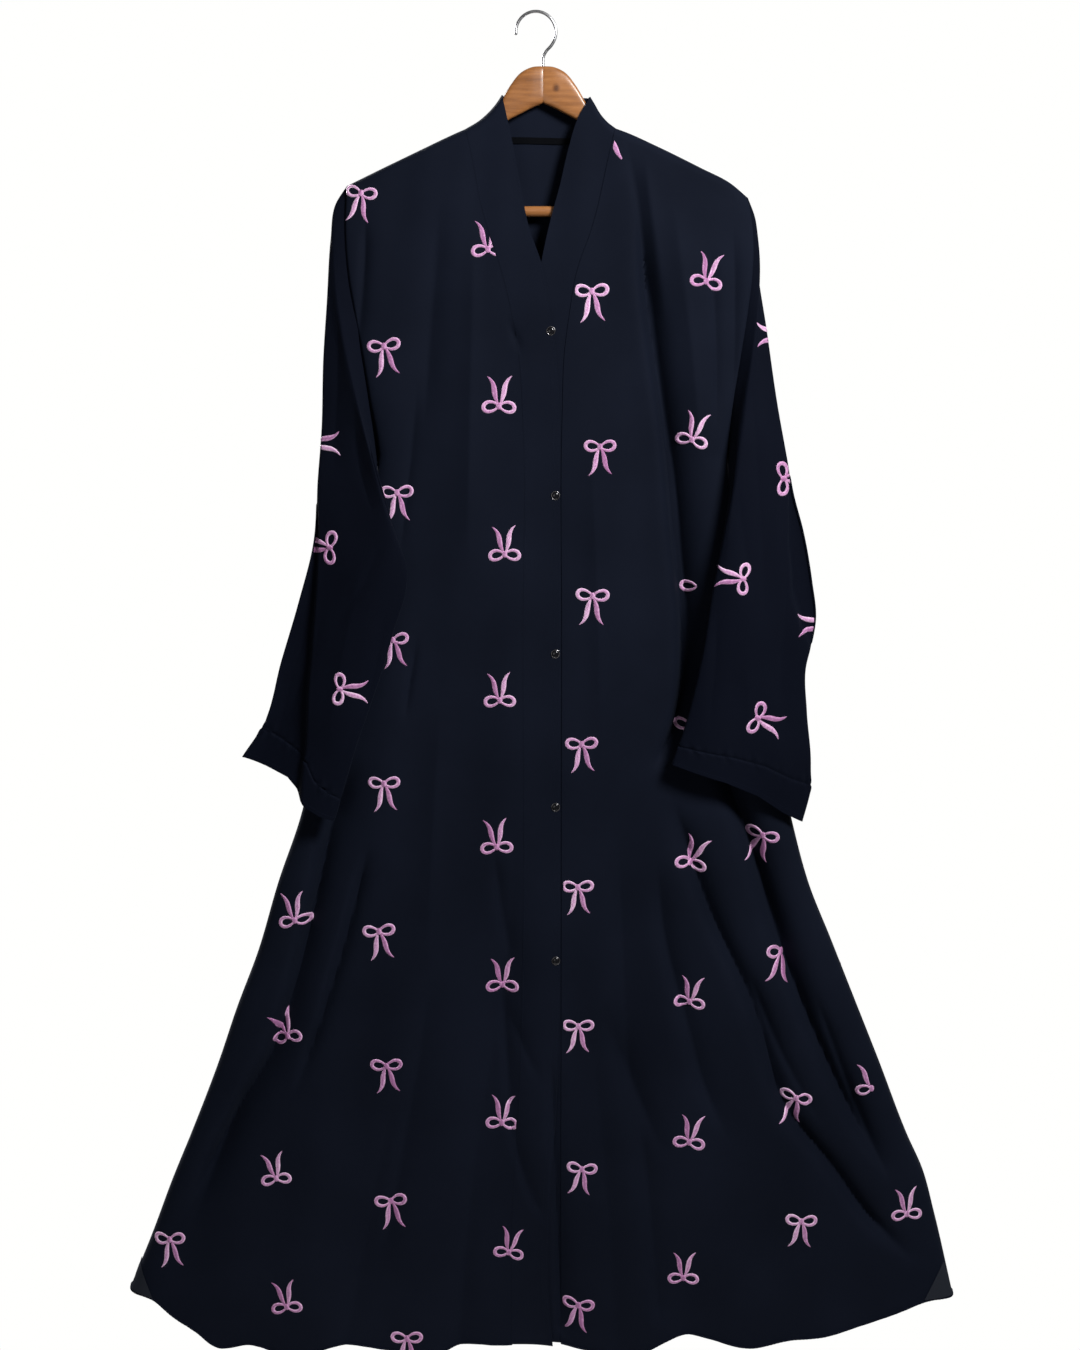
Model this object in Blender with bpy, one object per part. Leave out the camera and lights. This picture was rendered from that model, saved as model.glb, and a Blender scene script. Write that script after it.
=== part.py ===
"""An open-front abaya cloak hanging on a wooden hanger.

Lengths are millimetres until a mesh is made, then metres. The origin is the inside top of the hook,
where a rail or wall hook carries the hanger. The front faces -Y and +Z is up. Left and right go by
side as seen from the front, so left is -X.
"""

import math

import bpy
import numpy as np

# Cloth and seams
PANEL_CLOTH = 1.4
SLEEVE_CLOTH = 1.3
BAND_CLOTH = 2.0
CUFF_CLOTH = 2.0
SEAM_GAP = 0.3
ARMHOLE_GAP = 0.48
COLLAR_GAP = 0.75
SLEEVE_LAYERS_APART = 2.86

# Where the garment hangs
CENTRE_X = 8.0
FOLD_RADIUS = 10.0
CLOSING_POWER = 4.0
BAND_PROUD = 0.6
RIGHT_PANEL_BEHIND = 2.8
RIGHT_BAND_BEHIND = 2.2
SLEEVE_CLEARANCE = 2.5
ARMHOLE_DEPTH = 9.5

# Hanger: the hook's wire turns from its tip (degrees) round to the start of its neck, then follows points (x, z)
HOOK_RADIUS = 22.3
HOOK_WIRE = 3.5
HOOK_TURN = (188.0, -48.0)
HOOK_NECK = ((10.5, -42.5), (8.4, -47.0), (8.0, -51.0), (8.0, -56.6))
ARM_CORNER = 3.0
BAR_RADIUS = 6.0
BAR_Z = -215.0
BAR_HALF_LENGTH = 188.0

# Snap buttons: places (x, z) and a turned profile of (share of the radius, height)
BUTTON_RADIUS = 5.0
BUTTON_HEIGHT = 2.4
BUTTON_PLACES = ((17.0, -348.0), (22.5, -533.0), (22.5, -715.0), (23.0, -895.0), (23.5, -1079.0))
BUTTON_PROFILE = ((0.96, 0.0), (1.0, 0.5), (0.92, 1.2), (0.7, 1.5), (0.45, 2.1), (0.12, BUTTON_HEIGHT))

# How many points go round each turned or swept piece, and along the sleeves and panels
HOOK_SIDES = 8
HOOK_ARC_RINGS = 24
BAR_SIDES = 16
BUTTON_SIDES = 14
SLEEVE_SIDES = 24
SLEEVE_RINGS = 23
CUFF_RINGS = 4
FRONT_LEFT_COLUMNS = 17
FRONT_RIGHT_COLUMNS = 24
SHOULDER_COLUMNS = 7
BAND_COLUMNS = 5
COLLAR_ROWS = 5

# Finishes: colour, roughness and, for metal, metallic
CLOTH = ((0.012, 0.014, 0.022), 0.8)
WOOD = ((0.48, 0.19, 0.055), 0.45)
CHROME = ((0.8, 0.8, 0.8), 0.15, 1.0)
SNAP = ((0.03, 0.03, 0.035), 0.2, 1.0)

# Outlines, each a smooth curve through points (x, z)
SHOULDER_LEFT = ((-213, -187), (-175, -169), (-130, -148), (-85, -127.5), (-79, -125))
SHOULDER_RIGHT = ((239, -200), (219, -184), (185, -167), (139, -145), (96, -126.5), (90, -124.5))
COLLAR_FOLD_LEFT = ((-79, -125), (-63, -115.5), (-52, -106), (-43, -95.5), (-38, -88))
COLLAR_FOLD_RIGHT = ((90, -124.5), (80, -117), (72, -108), (66, -98), (61, -90))
ARMHOLE_LEFT = ((-213, -187), (-215, -230), (-212, -285), (-202, -346), (-190, -425), (-182, -488))
ARMHOLE_RIGHT = ((239, -200), (245, -240), (245, -280), (241, -319), (232, -382), (225, -431), (221, -487))
SIDE_LEFT = (
    (-182, -488), (-204, -570), (-228, -655), (-249, -773), (-280, -917), (-306, -990), (-333, -1078),
    (-360, -1148), (-383, -1214), (-420, -1308), (-443, -1363), (-471, -1436), (-498, -1501),
)
SIDE_RIGHT = (
    (221, -487), (236, -570), (252, -655), (275, -773), (304, -921), (325, -995), (352, -1061),
    (382, -1135), (414, -1214), (451, -1308), (471, -1352), (487, -1408), (512, -1509),
)
BAND_SEAM_LEFT = (
    (-79, -125), (-74, -145), (-59, -218), (-43, -267), (-28, -325), (-19, -380), (-15, -447),
    (-15, -700), (-16, -1078), (-21, -1256), (-29, -1391), (-30, -1558),
)
BAND_FREE_LEFT = (
    (-38, -88), (-29, -127), (-18, -182), (-7, -236), (6, -272), (16, -325), (21, -358), (26, -425),
    (28, -538), (28, -900), (28, -1128), (24, -1258), (16, -1393), (16, -1510), (20, -1562),
)
BAND_SEAM_RIGHT = (
    (90, -124.5), (85, -145), (65, -231), (47, -283), (39, -329), (34, -367), (31, -447),
    (31, -700), (31, -1078), (31, -1300), (31, -1558),
)
BAND_FREE_RIGHT = (
    (61, -90), (47, -114), (36, -149), (27, -187), (17, -223), (6, -272), (-3, -325), (-10, -380),
    (-13, -447), (-13, -700), (-14, -1078), (-16, -1300), (-16, -1558),
)
HEM_LEFT = (
    (-498, -1501), (-466, -1507), (-443, -1526), (-414, -1545), (-388, -1564), (-348, -1560),
    (-301, -1573), (-232, -1560), (-180, -1566), (-117, -1570), (-93, -1560), (-30, -1558),
)
HEM_RIGHT = (
    (512, -1509), (475, -1510), (434, -1523), (393, -1538), (350, -1550), (306, -1555), (263, -1562),
    (207, -1552), (182, -1547), (156, -1556), (130, -1569), (103, -1573), (62, -1565), (31, -1558),
)
BACK_NECK = ((-79, -125), (-60, -131), (-29, -135), (41, -135), (72, -131), (90, -124.5))
BACK_HEM = (
    (-498, -1501), (-380, -1535), (-200, -1552), (8, -1557), (210, -1552), (395, -1538), (512, -1509),
)

# Sleeves: outer and inner edges (x, z, how far forward)
OUTER_LEFT = (
    (-213, -187, 0), (-226, -207, 0), (-232, -246, 1), (-237, -313, 3), (-242, -380, 6), (-245, -459, 9),
    (-250, -516, 12), (-255, -586, 15), (-273, -655, 17), (-295, -726, 18), (-316, -797, 18), (-343, -838, 18),
)
INNER_LEFT = (
    (-182, -488, 0), (-190, -506, 12), (-184, -524, 26), (-169, -550, 37), (-156, -585, 42), (-147, -612, 44),
    (-148, -640, 45), (-161, -682, 46), (-177, -735, 47), (-191, -775, 47), (-207, -820, 47), (-221, -866, 47),
    (-234, -907, 47),
)
OUTER_RIGHT = (
    (239, -200, 0), (247, -220, 0), (251, -277, 1), (262, -344, 3), (276, -431, 6), (288, -493, 9),
    (295, -531, 12), (307, -575, 15), (318, -633, 17), (323, -675, 18), (318, -708, 19), (313, -730, 20),
    (315, -783, 20), (321, -844, 20), (320, -880, 20), (312, -914, 20),
)
INNER_RIGHT = (
    (221, -487, 0), (229, -504, 12), (225, -524, 26), (216, -556, 37), (207, -607, 43), (199, -653, 46),
    (192, -703, 48), (185, -738, 49), (174, -785, 50), (157, -840, 50),
)
# Where the front layer's edge is at fractions of the sleeve's length, as a share of the width from the outer edge
STEP_LEFT = ((0.0, -0.1), (0.50, -0.02), (0.62, 0.08), (0.75, 0.27), (0.86, 0.43), (1.0, 0.64))
STEP_RIGHT = (
    (0.0, -0.1), (0.42, -0.02), (0.52, 0.16), (0.60, 0.19), (0.67, 0.13), (0.71, 0.0), (0.74, -0.1), (1.0, -0.1),
)
# How much the hem of the cuff rises (+) or drops (-) from a straight line, from outer to inner edge
HEM_RISE_LEFT = ((0.0, 0), (0.25, 8), (0.5, 14), (0.6, 9), (0.68, -4), (0.85, -4), (1.0, 0))
HEM_RISE_RIGHT = ((0.0, 0), (0.15, 1), (0.35, 8), (0.6, 8), (1.0, 0))
STEP_DEPTH = 11.0
STEP_WIDTH = 0.07
FORWARD_RISE = 1.15
SLEEVE_HALF_DEPTH = ((0.0, 9.5), (0.15, 9.0), (0.4, 9.0), (0.7, 9.5), (1.0, 9.0))
CUFF_START = 0.938
CUFF_GAP = 0.0008

# How far the cloth stands out from the middle plane (height, front, back)
BODY_DEPTH = (
    (-60, 10.5, 10.5), (-150, 12.5, 11), (-260, 16, 12), (-400, 20, 14), (-700, 27, 16), (-1000, 33, 18),
    (-1300, 39, 21), (-1580, 44, 24),
)

# Folds of the front: path, width on its left and right, how deep, fading in and out over these heights
FRONT_FOLDS = (
    (((98, -129), (113, -202), (128, -329), (148, -463), (161, -588), (171, -690), (170, -760), (160, -806),
      (134, -856)), 6, 15, 17, 330, 60),
    (((206, -840), (231, -911), (262, -987), (322, -1132), (384, -1283), (428, -1355), (470, -1460)),
     12, 16, 12, 120, 160),
    (((170, -930), (191, -987), (230, -1068), (273, -1183), (333, -1283), (412, -1412), (450, -1490)),
     12, 14, 8, 100, 120),
    (((137, -949), (159, -1038), (190, -1226), (214, -1340)), 12, 16, 5, 90, 90),
    (((-215, -820), (-232, -911), (-270, -1051), (-326, -1206), (-401, -1359), (-450, -1460)),
     14, 12, 9, 120, 150),
    (((-180, -880), (-216, -1021), (-264, -1175), (-310, -1300)), 12, 10, 6, 80, 120),
    (((-190, -215), (-194, -280), (-200, -340), (-204, -380)), 5, 7, 6, 50, 50),
    (((-133, -400), (-145, -509), (-157, -610)), 6, 6, 3, 60, 60),
    (((222, -225), (225, -314), (225, -399), (222, -440)), 9, 9, 5, 60, 60),
    (((-20, -900), (-34, -1080), (-70, -1300), (-96, -1580)), 20, 26, 7, 200, 1),
    (((60, -1100), (80, -1300), (100, -1580)), 22, 26, 6, 200, 1),
    (((-150, -1150), (-190, -1350), (-235, -1580)), 24, 24, 6, 180, 1),
)
BACK_FOLDS = (
    (((-110, -380), (-150, -800), (-260, -1200), (-330, -1560)), 22, 24, 6, 250, 1),
    (((-30, -500), (-45, -900), (-90, -1300), (-110, -1570)), 24, 22, 6, 300, 1),
    (((50, -450), (62, -900), (105, -1300), (130, -1570)), 22, 24, 6, 300, 1),
    (((130, -380), (170, -800), (270, -1200), (345, -1560)), 24, 22, 6, 250, 1),
)

# Rows of every panel: fractions of its armhole, then of its side seam
ARMHOLE_ROWS = (0, 0.008, 0.022, 0.05, 0.12, 0.26, 0.42, 0.6, 0.8, 1)
SIDE_ROWS = 20
SEAM_AT_UNDERARM = 0.245
# Columns across the back neck, close together where the collar folds over the hanger
NECK_COLUMNS = (0, 0.02, 0.05, 0.11, 0.25, 0.5, 0.75, 0.89, 0.95, 0.98, 1)

# Half of the hanger: distance from the middle, top and bottom of the wood, half thickness there
ARM_SECTIONS = (
    (0.15, -57, -97, 5.0), (12, -58, -102, 6.0), (24, -63.5, -108, 6.0), (36, -77, -114, 6.0),
    (43, -88, -118, 6.0), (47, -95, -121, 6.0), (60, -112.5, -133, 6.0), (78, -127, -147, 6.0),
    (100, -137.5, -160, 6.0), (138, -153.5, -180, 6.0), (178, -172.5, -200, 6.0), (188.3, -177.5, -206, 6.0),
    (188.8, -178, -221, 6.0), (197, -182, -225, 6.0), (205, -187, -226, 5.6), (210, -192.5, -223, 4.6),
    (213, -199, -216, 2.6),
)


# Curves and walls

def smooth_path(table, fractions):
    """Points on a smooth curve through the rows of a table, at these fractions of its length."""
    rows = np.asarray(table, float)
    knots = np.r_[0.0, np.cumsum(np.linalg.norm(np.diff(rows[:, :2], axis=0), axis=1))]
    slopes = np.gradient(rows, knots, axis=0)
    length = np.asarray(fractions, float) * knots[-1]
    i = np.clip(np.searchsorted(knots, length, side="right") - 1, 0, len(knots) - 2)
    step = (knots[i + 1] - knots[i])[..., None]
    r = (length - knots[i])[..., None] / step
    start = (2 * r**3 - 3 * r**2 + 1) * rows[i] + (r**3 - 2 * r**2 + r) * step * slopes[i]
    end = (3 * r**2 - 2 * r**3) * rows[i + 1] + (r**3 - r**2) * step * slopes[i + 1]
    return start + end


def column_of(table, column):
    """Looks a column up by height, on the smooth curve through a table whose second column is height."""
    fine = smooth_path(table, np.linspace(0, 1, 400))
    order = np.argsort(fine[:, 1])
    return lambda z: np.interp(z, fine[order, 1], fine[order, column])


def soft_step(value):
    """0 below 0, 1 above 1, and an even rise between."""
    t = np.clip(value, 0, 1)
    return t * t * (3 - 2 * t)


def patch(top, bottom, left, right):
    """Fills a four-sided outline: each edge is a row of points, and corners agree."""
    columns = len(top)
    rows = len(left)
    u = np.linspace(0, 1, columns)[None, :, None]
    v = np.linspace(0, 1, rows)[:, None, None]
    across = (1 - u) * left[:, None] + u * right[:, None]
    down = (1 - v) * top[None] + v * bottom[None]
    top_corners = (1 - v) * ((1 - u) * top[0] + u * top[-1])
    bottom_corners = v * ((1 - u) * bottom[0] + u * bottom[-1])
    return across + down - top_corners - bottom_corners


def grid_normals(points, closed):
    """Unit normals of a grid of points (rows down, columns across), facing where (across x down) points."""
    down = np.gradient(points, axis=0)
    if closed:
        across = (np.roll(points, -1, axis=1) - np.roll(points, 1, axis=1)) / 2
    else:
        across = np.gradient(points, axis=1)
    normals = np.cross(across, down)
    return normals / np.maximum(np.linalg.norm(normals, axis=2, keepdims=True), 1e-9)


def wall(points, thickness, closed=False, level=()):
    """A closed wall: the grid is its outer face, and its inner face is moved in along the normals.

    Columns run so that (across x down) faces inwards. level holds (rows, columns, axis): there the wall's
    edge lies square to that axis, so that it meets its neighbour in one plane.
    """
    inwards = grid_normals(points, closed)
    for rows, columns, axis in level:
        axis = np.asarray(axis, float)
        part = inwards[rows, columns]
        part = part - (part @ axis)[..., None] * axis
        inwards[rows, columns] = part / np.linalg.norm(part, axis=-1, keepdims=True)
    rows, columns = points.shape[:2]
    outer = points.reshape(-1, 3)
    inner = (points + thickness * inwards).reshape(-1, 3)
    index = np.arange(rows * columns).reshape(rows, columns)
    if closed:
        index = np.concatenate([index, index[:, :1]], axis=1)
    second = index + rows * columns
    quads = [quads_of(index, False), quads_of(second, True)]
    quads.append(edge_quads(index[0], second[0], True))
    quads.append(edge_quads(index[-1], second[-1], False))
    if not closed:
        quads.append(edge_quads(index[:, 0], second[:, 0], False))
        quads.append(edge_quads(index[:, -1], second[:, -1], True))
    return np.concatenate([outer, inner]), np.concatenate(quads)


def quads_of(index, flipped):
    """The quads of a grid of point numbers."""
    quads = np.stack([index[:-1, :-1], index[1:, :-1], index[1:, 1:], index[:-1, 1:]], axis=-1)
    quads = quads.reshape(-1, 4)
    return quads[:, ::-1] if flipped else quads


def edge_quads(first, second, flipped):
    """The quads between two rows of point numbers."""
    quads = np.stack([first[:-1], second[:-1], second[1:], first[1:]], axis=-1)
    return quads[:, ::-1] if flipped else quads


# Depth of the body

LEFT_EDGE_X = column_of(ARMHOLE_LEFT + SIDE_LEFT[1:], 0)
RIGHT_EDGE_X = column_of(ARMHOLE_RIGHT + SIDE_RIGHT[1:], 0)
TOP_LINE = np.concatenate([
    smooth_path(SHOULDER_LEFT, np.linspace(0, 1, 60)),
    smooth_path(COLLAR_FOLD_LEFT, np.linspace(0, 1, 30))[1:],
    [[-18, -30], [41, -30]],
    smooth_path(COLLAR_FOLD_RIGHT, np.linspace(1, 0, 30)),
    smooth_path(SHOULDER_RIGHT, np.linspace(1, 0, 60))[1:],
])


def armhole_edge(x, z):
    """How far the armhole stands out from the middle plane at this height: 0 at the tip and at the underarm."""
    left = np.asarray(x) < CENTRE_X
    top = np.where(left, ARMHOLE_LEFT[0][1], ARMHOLE_RIGHT[0][1])
    bottom = np.where(left, ARMHOLE_LEFT[-1][1], ARMHOLE_RIGHT[-1][1])
    part = np.clip((top - z) / (top - bottom), 0, 1)
    return ARMHOLE_DEPTH * 2 * np.sqrt(part * (1 - part))


def closing(x, z):
    """1 over the body, falling to 0 at the side seams and armholes."""
    half = np.where(x < CENTRE_X, CENTRE_X - LEFT_EDGE_X(z), RIGHT_EDGE_X(z) - CENTRE_X)
    s = np.clip(np.abs(x - CENTRE_X) / half, 0, 1)
    return (1 - s**CLOSING_POWER) ** (1 / CLOSING_POWER)


def over_the_top(x, z):
    """0 on the shoulder and collar fold, rising in a quarter round to 1 below it."""
    below = np.interp(x, TOP_LINE[:, 0], TOP_LINE[:, 1]) - z
    return np.sqrt(1 - (1 - np.clip(below / FOLD_RADIUS, 0, 1)) ** 2)


def fold_push(folds, x, z):
    """How far the folds press the cloth towards the middle plane."""
    total = np.zeros(np.broadcast(x, z).shape)
    for path, left_width, right_width, depth, fade_in, fade_out in folds:
        off = x - column_of(path, 0)(z)
        width = np.where(off < 0, left_width, right_width)
        along = soft_step((path[0][1] - z) / fade_in) * soft_step((z - path[-1][1]) / fade_out)
        total = total + depth * along * np.exp(-((off / width) ** 2))
    return total


def front_depth(x, z, behind=0.0):
    """How far forward of the middle plane the front cloth's outer face is."""
    table = np.asarray(BODY_DEPTH[::-1], float)
    full = np.interp(z, table[:, 0], table[:, 1]) - behind
    edge = armhole_edge(x, z)
    shape = closing(x, z)
    pressed = fold_push(FRONT_FOLDS, x, z) * np.clip(shape * 1.4, 0, 1)
    return np.maximum(((full - edge) * shape + edge - pressed) * over_the_top(x, z), SEAM_GAP / 2)


def back_depth(x, z):
    """How far behind the middle plane the back cloth's outer face is."""
    table = np.asarray(BODY_DEPTH[::-1], float)
    full = np.interp(z, table[:, 0], table[:, 2])
    edge = armhole_edge(x, z)
    shape = closing(x, z)
    pressed = fold_push(BACK_FOLDS, x, z) * shape
    return np.maximum(((full - edge) * shape + edge - pressed) * over_the_top(x, z), SEAM_GAP / 2)


def solid_points(flat, y):
    """Puts a depth to points (x, z)."""
    return np.stack([flat[..., 0], y, flat[..., 1]], axis=-1)


# Panels

def side_outline(armhole, side):
    """The armhole and then the side seam, with a row exactly at the underarm."""
    lower = smooth_path(side, np.linspace(0, 1, SIDE_ROWS + 1))
    return np.concatenate([smooth_path(armhole, ARMHOLE_ROWS), lower[1:]])


def near_side_spacing(count):
    """Fractions from 0 at the side to 1 at the band, closer together at the side."""
    return np.linspace(0, 1, count) ** 1.3


def seam_rows():
    """Fractions down a band, spaced to stay level with the rows of the side outline."""
    lower = np.linspace(SEAM_AT_UNDERARM, 1, SIDE_ROWS + 1)
    return np.concatenate([np.array(ARMHOLE_ROWS) * SEAM_AT_UNDERARM, lower[1:]])


def front_panel(armhole, side, shoulder, seam, hem, columns):
    """A front panel as points (x, z), from its side edge to its band seam."""
    across = near_side_spacing(columns)
    return patch(
        smooth_path(shoulder, across),
        smooth_path(hem, across),
        side_outline(armhole, side),
        smooth_path(seam, seam_rows()),
    )


def front_left_points():
    flat = front_panel(ARMHOLE_LEFT, SIDE_LEFT, SHOULDER_LEFT, BAND_SEAM_LEFT, HEM_LEFT, FRONT_LEFT_COLUMNS)
    flat[:, -1, 0] -= SEAM_GAP
    return solid_points(flat, -front_depth(flat[..., 0], flat[..., 1]))


def front_right_points():
    flat = front_panel(
        ARMHOLE_RIGHT, SIDE_RIGHT, SHOULDER_RIGHT, BAND_SEAM_RIGHT, HEM_RIGHT, FRONT_RIGHT_COLUMNS,
    )
    flat[:, -1, 0] += SEAM_GAP
    return solid_points(flat, -front_depth(flat[..., 0], flat[..., 1], RIGHT_PANEL_BEHIND))


def back_points():
    """The back panel: shoulder, neck curve and shoulder along its top."""
    shoulder = np.linspace(0, 1, SHOULDER_COLUMNS)
    top = np.concatenate([
        smooth_path(SHOULDER_LEFT, shoulder),
        smooth_path(BACK_NECK, NECK_COLUMNS)[1:-1],
        smooth_path(SHOULDER_RIGHT, 1 - shoulder),
    ])
    bottom = smooth_path(BACK_HEM, near_both_sides(len(top)))
    flat = patch(top, bottom, side_outline(ARMHOLE_LEFT, SIDE_LEFT), side_outline(ARMHOLE_RIGHT, SIDE_RIGHT))
    return solid_points(flat, back_depth(flat[..., 0], flat[..., 1]))


def near_both_sides(count):
    """Fractions from 0 to 1, closer together at both ends."""
    t = np.linspace(0, 1, count)
    return t - 0.05 * np.sin(2 * math.pi * t)


def band_points(seam, free, fold, behind):
    """A band from its seam to its free edge, and from the fold over the shoulder to the hem."""
    left = smooth_path(seam, seam_rows())
    right = smooth_path(free, seam_rows())
    top = smooth_path(fold, np.linspace(0, 1, BAND_COLUMNS))
    bottom = np.linspace(left[-1], right[-1], BAND_COLUMNS)
    flat = patch(top, bottom, left, right)
    return solid_points(flat, -front_depth(flat[..., 0], flat[..., 1], behind))


def collar_back_points():
    """The back of the collar, standing up from the back neck behind the hanger."""
    left = smooth_path(COLLAR_FOLD_LEFT, np.linspace(1, 0, COLLAR_ROWS))
    right = smooth_path(COLLAR_FOLD_RIGHT, np.linspace(1, 0, COLLAR_ROWS))
    across = np.array(NECK_COLUMNS)[:, None]
    top = (1 - across) * left[0] + across * right[0]
    bottom = smooth_path(BACK_NECK, NECK_COLUMNS)
    flat = patch(top, bottom, left, right)
    flat[-1, :, 1] += COLLAR_GAP
    return solid_points(flat, back_depth(flat[..., 0], flat[..., 1]))


# Sleeves

def sleeve_points(side, down, around):
    """Rings of a sleeve: down holds fractions from armhole to cuff, around holds angles from outer edge.

    The front half of each ring runs from the outer edge (0) to the inner edge (pi), and the rear half back.
    """
    tables = SLEEVES[side]
    outer = smooth_path(tables["outer"], down)
    inner = smooth_path(tables["inner"], down)
    armhole = column_of(tables["armhole"], 0)
    part = (1 - np.cos(around)) / 2
    front = np.sin(around) >= -1e-9
    w = np.asarray(down, float)[:, None]
    f = part[None, :]
    x = outer[:, None, 0] + f * (inner - outer)[:, None, 0]
    z = outer[:, None, 1] + f * (inner - outer)[:, None, 1]
    top = tables["armhole"][0]
    bottom = tables["armhole"][-1]
    armhole_z = top[1] + f * (bottom[1] - top[1])
    bow = armhole(armhole_z) - (top[0] + f * (bottom[0] - top[0]))
    x = x + (1 - w) ** 3 * bow + tables["outwards"] * ARMHOLE_GAP * (1 - w)
    rise = np.interp(f, *np.transpose(tables["hem_rise"]))
    z = z + soft_step((w - 0.7) / 0.3) * rise
    forward = outer[:, None, 2] + soft_step(f * FORWARD_RISE) * (inner - outer)[:, None, 2]
    half = np.interp(w, *np.transpose(SLEEVE_HALF_DEPTH))
    roundness = np.abs(np.sin(around))[None, :] ** (1 - 0.45 * soft_step(w * 4))
    step_at = np.interp(w, *np.transpose(tables["step"]))
    back_of_step = 1 - soft_step((f - step_at) / STEP_WIDTH + 0.5)
    recess = STEP_DEPTH * back_of_step * soft_step((w - 0.3) / 0.15)
    y_front = -forward - half * roundness + recess * np.minimum(1, roundness * 1.2)
    y_rear = -forward + half * roundness
    inside = np.where(x < CENTRE_X, x - LEFT_EDGE_X(z), RIGHT_EDGE_X(z) - x)
    body = -front_depth(x, z) - SLEEVE_CLEARANCE
    limit = np.where((inside > -2.0) & (w > 0.02), body, 1e3)
    y_rear = np.minimum(y_rear, limit)
    y_front = np.minimum(y_front, y_rear - SLEEVE_LAYERS_APART * roundness)
    y = np.where(front[None, :], y_front, y_rear)
    return np.stack([x, y, z], axis=-1)


SLEEVES = {
    "left": {
        "outer": OUTER_LEFT, "inner": INNER_LEFT, "armhole": ARMHOLE_LEFT, "step": STEP_LEFT,
        "hem_rise": HEM_RISE_LEFT, "outwards": -1,
    },
    "right": {
        "outer": OUTER_RIGHT, "inner": INNER_RIGHT, "armhole": ARMHOLE_RIGHT, "step": STEP_RIGHT,
        "hem_rise": HEM_RISE_RIGHT, "outwards": 1,
    },
}


def tube_grid(side, down, count):
    """Sleeve rings ordered so that (across x down) faces inwards on either side."""
    around = np.linspace(0, 2 * math.pi, count, endpoint=False)
    points = sleeve_points(side, down, around)
    return points if side == "left" else points[:, ::-1]


# Objects

def material(name, colour, roughness, metallic=0.0):
    made = bpy.data.materials.new(name)
    made.use_nodes = True
    shader = made.node_tree.nodes["Principled BSDF"]
    shader.inputs["Base Color"].default_value = (*colour, 1)
    shader.inputs["Roughness"].default_value = roughness
    shader.inputs["Metallic"].default_value = metallic
    made.diffuse_color = (*colour, 1)
    return made


def add(name, points, faces, coat):
    """Makes one named object from points in millimetres and faces."""
    mesh = bpy.data.meshes.new(name)
    mesh.from_pydata((np.asarray(points) / 1000).tolist(), [], [list(map(int, face)) for face in faces])
    mesh.validate()
    mesh.polygons.foreach_set("use_smooth", [True] * len(mesh.polygons))
    mesh.materials.append(material(name, *coat))
    thing = bpy.data.objects.new(name, mesh)
    bpy.context.scene.collection.objects.link(thing)
    return thing


def loft(sections, name, coat):
    """A solid through closed sections of equal count, capped at both ends."""
    sections = np.asarray(sections)
    rows, count = sections.shape[:2]
    index = np.arange(rows * count).reshape(rows, count)
    index = np.concatenate([index, index[:, :1]], axis=1)
    faces = [list(quad) for quad in quads_of(index, False)]
    faces.append(list(index[0, :-1]))
    faces.append(list(index[-1, :-1][::-1]))
    return add(name, sections.reshape(-1, 3), faces, coat)


def arm(side):
    """Half of the wooden hanger: rounded upright sections from the middle joint to the tip."""
    sections = []
    for offset, top, bottom, half in ARM_SECTIONS:
        x = CENTRE_X + side * offset
        r = min(ARM_CORNER, half * 0.6)
        ring = []
        for angle in np.arange(0, 360, 30):
            a = math.radians(angle + 15)
            y = math.copysign(half - r, math.cos(a)) + r * math.cos(a)
            z = math.copysign((top - bottom) / 2 - r, math.sin(a)) + r * math.sin(a)
            ring.append((x, y, (top + bottom) / 2 + z))
        sections.append(ring if side < 0 else ring[::-1])
    return loft(sections, "hanger_arm_left" if side < 0 else "hanger_arm_right", WOOD)


def round_bar():
    sections = []
    angles = np.linspace(0, 2 * math.pi, BAR_SIDES, endpoint=False)
    for x in (CENTRE_X - BAR_HALF_LENGTH, CENTRE_X + BAR_HALF_LENGTH):
        sections.append([(x, BAR_RADIUS * math.cos(-a), BAR_Z + BAR_RADIUS * math.sin(-a)) for a in angles])
    return loft(sections, "hanger_bar", WOOD)


def hook():
    """The hook's wire swept from its tip over the top, down the right and into the wood."""
    wire_radius = HOOK_WIRE / 2
    centre_z = wire_radius - HOOK_RADIUS
    turn = np.radians(np.linspace(*HOOK_TURN, HOOK_ARC_RINGS))
    arc = np.stack([HOOK_RADIUS * np.cos(turn), centre_z + HOOK_RADIUS * np.sin(turn)], axis=1)
    path = np.concatenate([arc, HOOK_NECK])
    tangent = np.gradient(path, axis=0)
    tangent /= np.linalg.norm(tangent, axis=1, keepdims=True)
    sections = []
    for (x, z), (tx, tz) in zip(path, tangent):
        ring = []
        for a in np.linspace(0, 2 * math.pi, HOOK_SIDES, endpoint=False):
            side = wire_radius * math.cos(a)
            ring.append((x + side * tz, -wire_radius * math.sin(a), z - side * tx))
        sections.append(ring)
    return loft(sections, "hanger_hook", CHROME)


def button(number, x, z):
    """A domed snap turned about its own axis, standing on the left band."""
    face = float(-front_depth(np.array(x), np.array(z)) - BAND_PROUD - SEAM_GAP)
    angles = np.linspace(0, 2 * math.pi, BUTTON_SIDES, endpoint=False)
    sections = []
    for share, out in BUTTON_PROFILE:
        radius = share * BUTTON_RADIUS
        sections.append([(x + radius * math.cos(a), face - out, z - radius * math.sin(a)) for a in angles])
    return loft(sections, f"button_{number}", SNAP)


for old in list(bpy.data.objects):
    bpy.data.objects.remove(old)

FACING_FRONT = (0, 1, 0)
FACING_SIDE = (1, 0, 0)
EVERY = slice(None)
IN_ARMHOLE = slice(0, len(ARMHOLE_ROWS) - 1)
DOWN_SIDE = slice(len(ARMHOLE_ROWS) - 1, None)


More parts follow.
